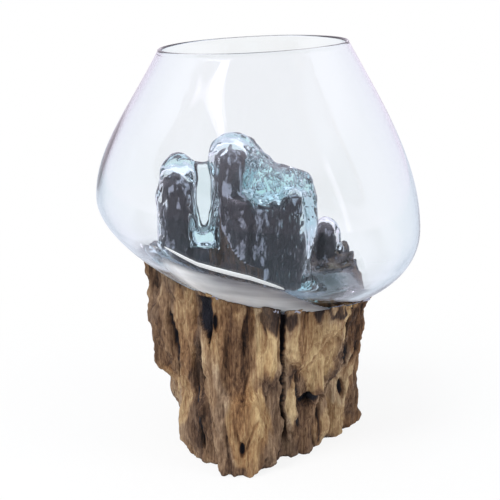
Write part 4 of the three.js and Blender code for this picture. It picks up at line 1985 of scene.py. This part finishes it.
    def shell(self) -> tuple[Shell, Array]:
        """Joins the sides, the seat with its prongs, and the sawn foot into one closed shell."""
        grid, states = self.sides()
        levels, count = grid.shape[:2]
        top, top_state, first = self.seat_patch(grid[-1])
        states = np.concatenate([states, np.zeros((levels, count, 1))], axis=2)
        top_state[first : first + count] = states[-1]
        shift = (levels - 1) * count
        rings = np.vstack([ring_rows(0, levels - 1, count), ring_rows(shift + first, 1, count)])
        foot = shift + len(top.points)
        faces = np.vstack([wall_faces(rings, low_tip=foot), top.faces + shift])
        middle = [[*grid[0, :, :2].mean(axis=0), 0.0]]
        points = np.vstack([grid[:-1].reshape(-1, 3), top.points, middle])
        state = np.vstack([states[:-1].reshape(-1, 4), top_state, states[0, :1]])
        return Shell(points, faces), state

    def build(self) -> Piece:
        """Makes the block, dresses it and puts it on its body."""
        shell, state = self.shell()
        piece = shell.to_object("root_wood_block", self.finish.material())
        paint(piece, self.finish.attribute, state)
        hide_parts("wood_base")
        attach(piece, Body.BASE.value)
        return piece


@dataclass(frozen=True)
class Window:
    """A soft bright window of the room that the glass reflects: where it is and its half sizes."""

    toward: Triple
    across: Triple
    half_across: float
    half_along: float
    strength: float


@dataclass(frozen=True)
class Lamp:
    """A soft rectangular lamp: its place and its width and height in metres, and its watts."""

    name: str
    place: Triple
    size: Pair
    power: float


@dataclass
class Studio:
    """A pale floor, soft lamps, a white surround, and the camera at the photograph's angle."""

    eye: Triple = (-6.0, -800.0, 354.0)
    look_down: float = 14.85
    focal_pixels: float = 1187.0
    frame_pixels: float = 500.0
    sensor: float = 36.0
    bounces: int = 24

    # The lamps look at one place of the object, in metres.
    lamps: tuple[Lamp, ...] = (
        Lamp("key", (-1.1, -1, 1.5), (0.7, 1), 26),
        Lamp("fill", (1.5, -0.7, 0.9), (0.9, 1.2), 9),
    )
    lamp_target: Triple = (0.0, 0.0, 0.14)

    # What lights the object from all round, and the room that the glass reflects.
    soft_colour: Triple = (0.92, 0.95, 1.0)
    soft_light: float = 0.62
    room_colour: Triple = (0.95, 0.87, 1.0)
    room_turn: Pair = (-0.75, 0.35)
    room_light: Pair = (0.44, 1.0)
    window_depth: float = 0.5
    window_edge: Pair = (1.3, 0.8)
    windows: tuple[Window, ...] = (
        Window((-0.531, -0.367, 0.757), (0.783, 0.622, 0), 0.022, 0.24, 3),
        Window((0.860, -0.430, 0.230), (0.420, 0.890, 0.110), 0.03, 0.30, 1.2),
        Window((0.098, 0.989, 0.119), (1, 0, 0), 0.020, 0.008, 6),
        Window((0, 0, 1), (1, 0, 0), 0.85, 0.85, 0.60),
    )

    # The floor, in metres: how it looks straight, and how it looks in a reflection.
    floor_half: float = 2.4
    floor_colour: Triple = (0.94, 0.94, 0.94)
    shadow_reach: Pair = (0.10, 0.42)
    shadow_light: Pair = (0.86, 1.0)
    floor_tint: Triple = (0.86, 0.89, 1.0)
    floor_turn: Pair = (-0.10, 0.10)
    floor_light: Pair = (0.30, 0.9)

    def camera(self) -> None:
        """Places the camera. The lens is the focal length in pixels times the sensor per pixel."""
        data = bpy.data.cameras.new("front_view")
        data.sensor_width = self.sensor
        data.lens = self.focal_pixels / self.frame_pixels * self.sensor
        view = link_object("front_view", data)
        view.location = Vector(self.eye) * MILLIMETRE
        view.rotation_euler = (math.radians(90.0 - self.look_down), 0.0, 0.0)
        bpy.context.scene.camera = view

    def hang(self, lamp: Lamp) -> None:
        """Hangs up a lamp that looks at the object and isn't reflected by it."""
        data = bpy.data.lights.new(lamp.name, "AREA")
        data.shape = "RECTANGLE"
        data.size, data.size_y = lamp.size
        data.energy = lamp.power
        light = link_object(lamp.name, data)
        light.location = lamp.place
        look = Vector(self.lamp_target) - Vector(lamp.place)
        light.rotation_euler = look.to_track_quat("-Z", "Y").to_euler()
        light.visible_glossy = False
        light.visible_transmission = False

    def surround(self) -> None:
        """A white surround to look at, a softer one to be lit by, and a room to reflect."""
        world = bpy.data.worlds.new("surround")
        bpy.context.scene.world = world
        nodes = Nodes(world)
        path = nodes.add("ShaderNodeLightPath").outputs
        white = nodes.add("ShaderNodeBackground", {0: WHITE})
        soft = nodes.add("ShaderNodeBackground", {0: self.soft_colour, 1: self.soft_light})
        room = nodes.add("ShaderNodeBackground", {0: self.room_colour, 1: self.reflected(nodes)})
        light = nodes.shaders(self.mirrored(nodes, path), soft, room)
        seen = nodes.shaders(self.unmirrored(nodes, path), light, white)
        nodes.add("ShaderNodeOutputWorld", {"Surface": seen.outputs[0]})

    @staticmethod
    def mirrored(nodes: Nodes, path: Sequence[Socket]) -> Socket:
        """Adds what is 1 for rays that something has mirrored, of what a light path gives."""
        return nodes.math("GREATER_THAN", path["Glossy Depth"], 0.5)

    @staticmethod
    def unmirrored(nodes: Nodes, path: Sequence[Socket]) -> Socket:
        """Adds what is 1 for rays from the camera, also through glass, that nothing mirrored."""
        seen = nodes.math("MAXIMUM", path["Is Camera Ray"], path["Is Transmission Ray"])
        return nodes.math("MULTIPLY", seen, nodes.math("LESS_THAN", path["Glossy Depth"], 0.5))

    def reflected(self, nodes: Nodes) -> Socket:
        """Adds the brightness of the room by direction.

        Args:
            nodes: The world's nodes.

        Returns:
            A strength that grows from the front (-Y) to the back, as in a room with a white
            backdrop, plus each window's strength times the product of its three shares.
        """
        direction = nodes.add("ShaderNodeTexCoord").outputs["Generated"]
        parts = nodes.add("ShaderNodeSeparateXYZ", {0: direction}).outputs
        total = nodes.ranged(parts[1], self.room_turn, self.room_light)
        for window in self.windows:
            toward = Vector(window.toward).normalized()
            across = Vector(window.across).normalized()
            along = toward.cross(across).normalized()
            glow = None
            for axis, half in (
                (across, window.half_across),
                (along, window.half_along),
                (toward, self.window_depth),
            ):
                share = self.window_share(nodes, direction, toward, axis, half)
                glow = nodes.math("MULTIPLY", glow, share) if glow else share
            glow = nodes.math("MULTIPLY", glow, window.strength)
            total = nodes.math("ADD", total, glow)
        return total

    def window_share(
        self, nodes: Nodes, direction: Socket, toward: Vector, axis: Vector, half: float
    ) -> Socket:
        """Adds how far inside a window a direction lies, along one axis of it.

        Args:
            nodes: The world's nodes.
            direction: The direction that is looked at.
            toward: The direction to the window's middle.
            axis: The axis.
            half: The window's half size along the axis.

        Returns:
            1 inside and 0 outside, with a soft edge, of the distance between the two directions
            along the axis.
        """
        dot = nodes.add("ShaderNodeVectorMath", {0: direction, 1: axis}, operation="DOT_PRODUCT")
        off = nodes.math("SUBTRACT", dot.outputs["Value"], toward.dot(axis))
        outer, inner = self.window_edge
        return nodes.ranged(nodes.math("ABSOLUTE", off), (half * outer, half * inner))

    def floor_material(self) -> Material:
        """Makes the floor's material.

        Returns:
            White to look at, apart from a shade that fades with the distance from the object. In
            a reflection it is lit, and brighter behind the object than before it.
        """
        material, nodes = new_material("pale_floor")
        path = nodes.add("ShaderNodeLightPath").outputs
        place = nodes.add("ShaderNodeTexCoord").outputs["Object"]
        away = nodes.add("ShaderNodeVectorMath", {0: place}, operation="LENGTH").outputs["Value"]
        clear = nodes.ranged(away, self.shadow_reach, self.shadow_light)
        shown = nodes.math("MULTIPLY", self.unmirrored(nodes, path), clear)
        white = nodes.add("ShaderNodeEmission", {0: WHITE})
        plain = nodes.add("ShaderNodeBsdfDiffuse", {0: self.floor_colour})
        parts = nodes.add("ShaderNodeSeparateXYZ", {0: place}).outputs
        light = nodes.ranged(parts[1], self.floor_turn, self.floor_light)
        lit = nodes.add("ShaderNodeEmission", {0: self.floor_tint, 1: light})
        ground = nodes.shaders(self.mirrored(nodes, path), plain, lit)
        surface = nodes.shaders(shown, ground, white)
        nodes.add("ShaderNodeOutputMaterial", {"Surface": surface.outputs[0]})
        return material

    def floor(self) -> None:
        """A white floor that keeps a faint shadow of the object."""
        half = self.floor_half
        corners = [(-half, -half, 0.0), (half, -half, 0.0), (half, half, 0.0), (-half, half, 0.0)]
        mesh = bpy.data.meshes.new("pale_floor")
        mesh.from_pydata(corners, [], [(0, 1, 2, 3)])
        mesh.materials.append(self.floor_material())
        floor = link_object("pale_floor", mesh)

    def build(self) -> None:
        """Makes the whole studio."""
        self.camera()
        self.surround()
        self.floor()
        for lamp in self.lamps:
            self.hang(lamp)
        scene = bpy.context.scene
        scene.view_settings.view_transform = "Standard"
        scene.cycles.max_bounces = self.bounces
        scene.cycles.transmission_bounces = self.bounces
        scene.cycles.transparent_max_bounces = self.bounces


# The left prong, the tall one and its shoulder, the middle and the right one, the one at the
# back, and the low saddle between the first two: place, half sizes, rise and dome.
PRONGS = (
    Stalk.prong(-57.3, 12, 11, 12, 94, 13),
    Stalk.prong(-18.3, 12, 12.7, 12.9, 110.5, 12.5),
    Stalk.prong(-12, 9, 15, 17, 81, 10),
    Stalk.prong(4, 12, 22, 17, 76, 9),
    Stalk.prong(21, 13, 11, 13, 79, 7),
    Stalk.prong(51, 62, 9, 8, 44, 12),
    Stalk.prong(-38, 13, 12, 9, 42, 8),
)

# The glass round the prongs, as levels of (height, x, y, half x, half y) and a dome.
COATS = (
    Stalk(
        (
            (104, -56, 12, 13, 17), (146, -56.5, 12, 12.5, 16),
            (164, -58, 12, 13, 16), (178, -58.8, 12, 14, 16),
            (191, -56, 12, 13.5, 15),
        ),
        17,
    ),
    Stalk(
        (
            (104, -10, 12, 21, 20), (176, -13.5, 12, 17.5, 18),
            (196, -16.5, 12, 17.5, 18), (207, -17.5, 12, 17, 17.5),
        ),
        15,
    ),
    Stalk(((104, -4, 12, 18, 20), (198, -5.5, 12, 14.5, 17)), 13.5),
    Stalk(
        (
            (104, 8, 12, 28, 23), (178, 6, 12, 23, 22),
            (188, 5, 12, 21, 21),
        ),
        13,
    ),
    Stalk(
        (
            (104, 22.5, 13, 14, 16.5), (138, 22.5, 13, 14.5, 16.5),
            (158, 24.5, 13, 18.3, 19), (176, 24, 13, 17.5, 18),
            (186, 22.5, 13, 16, 17),
        ),
        10.5,
    ),
    Stalk(((104, 51.5, 62, 12, 11), (136, 51.5, 62, 11, 10)), 14.5),
)


def main() -> None:
    """Loads the frame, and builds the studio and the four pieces."""
    logging.basicConfig(level=logging.INFO, format="%(name)s: %(message)s")
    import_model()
    drape = Drape(BowlForm(), PRONGS, COATS, Web())
    Studio().build()
    makers = (
        RootWood(drape, RootFinish()),
        GlassBowl(drape, BlownGlass()),
        PaintedHighlightStrand(drape.form),
        SmokeAndReflectionFilm(drape.form, SmokeAndReflectionFinish()),
    )
    for maker in makers:
        piece = maker.build()
        log.info("%s has %d faces", piece.name, len(piece.data.polygons))


if __name__ == "__main__":
    main()
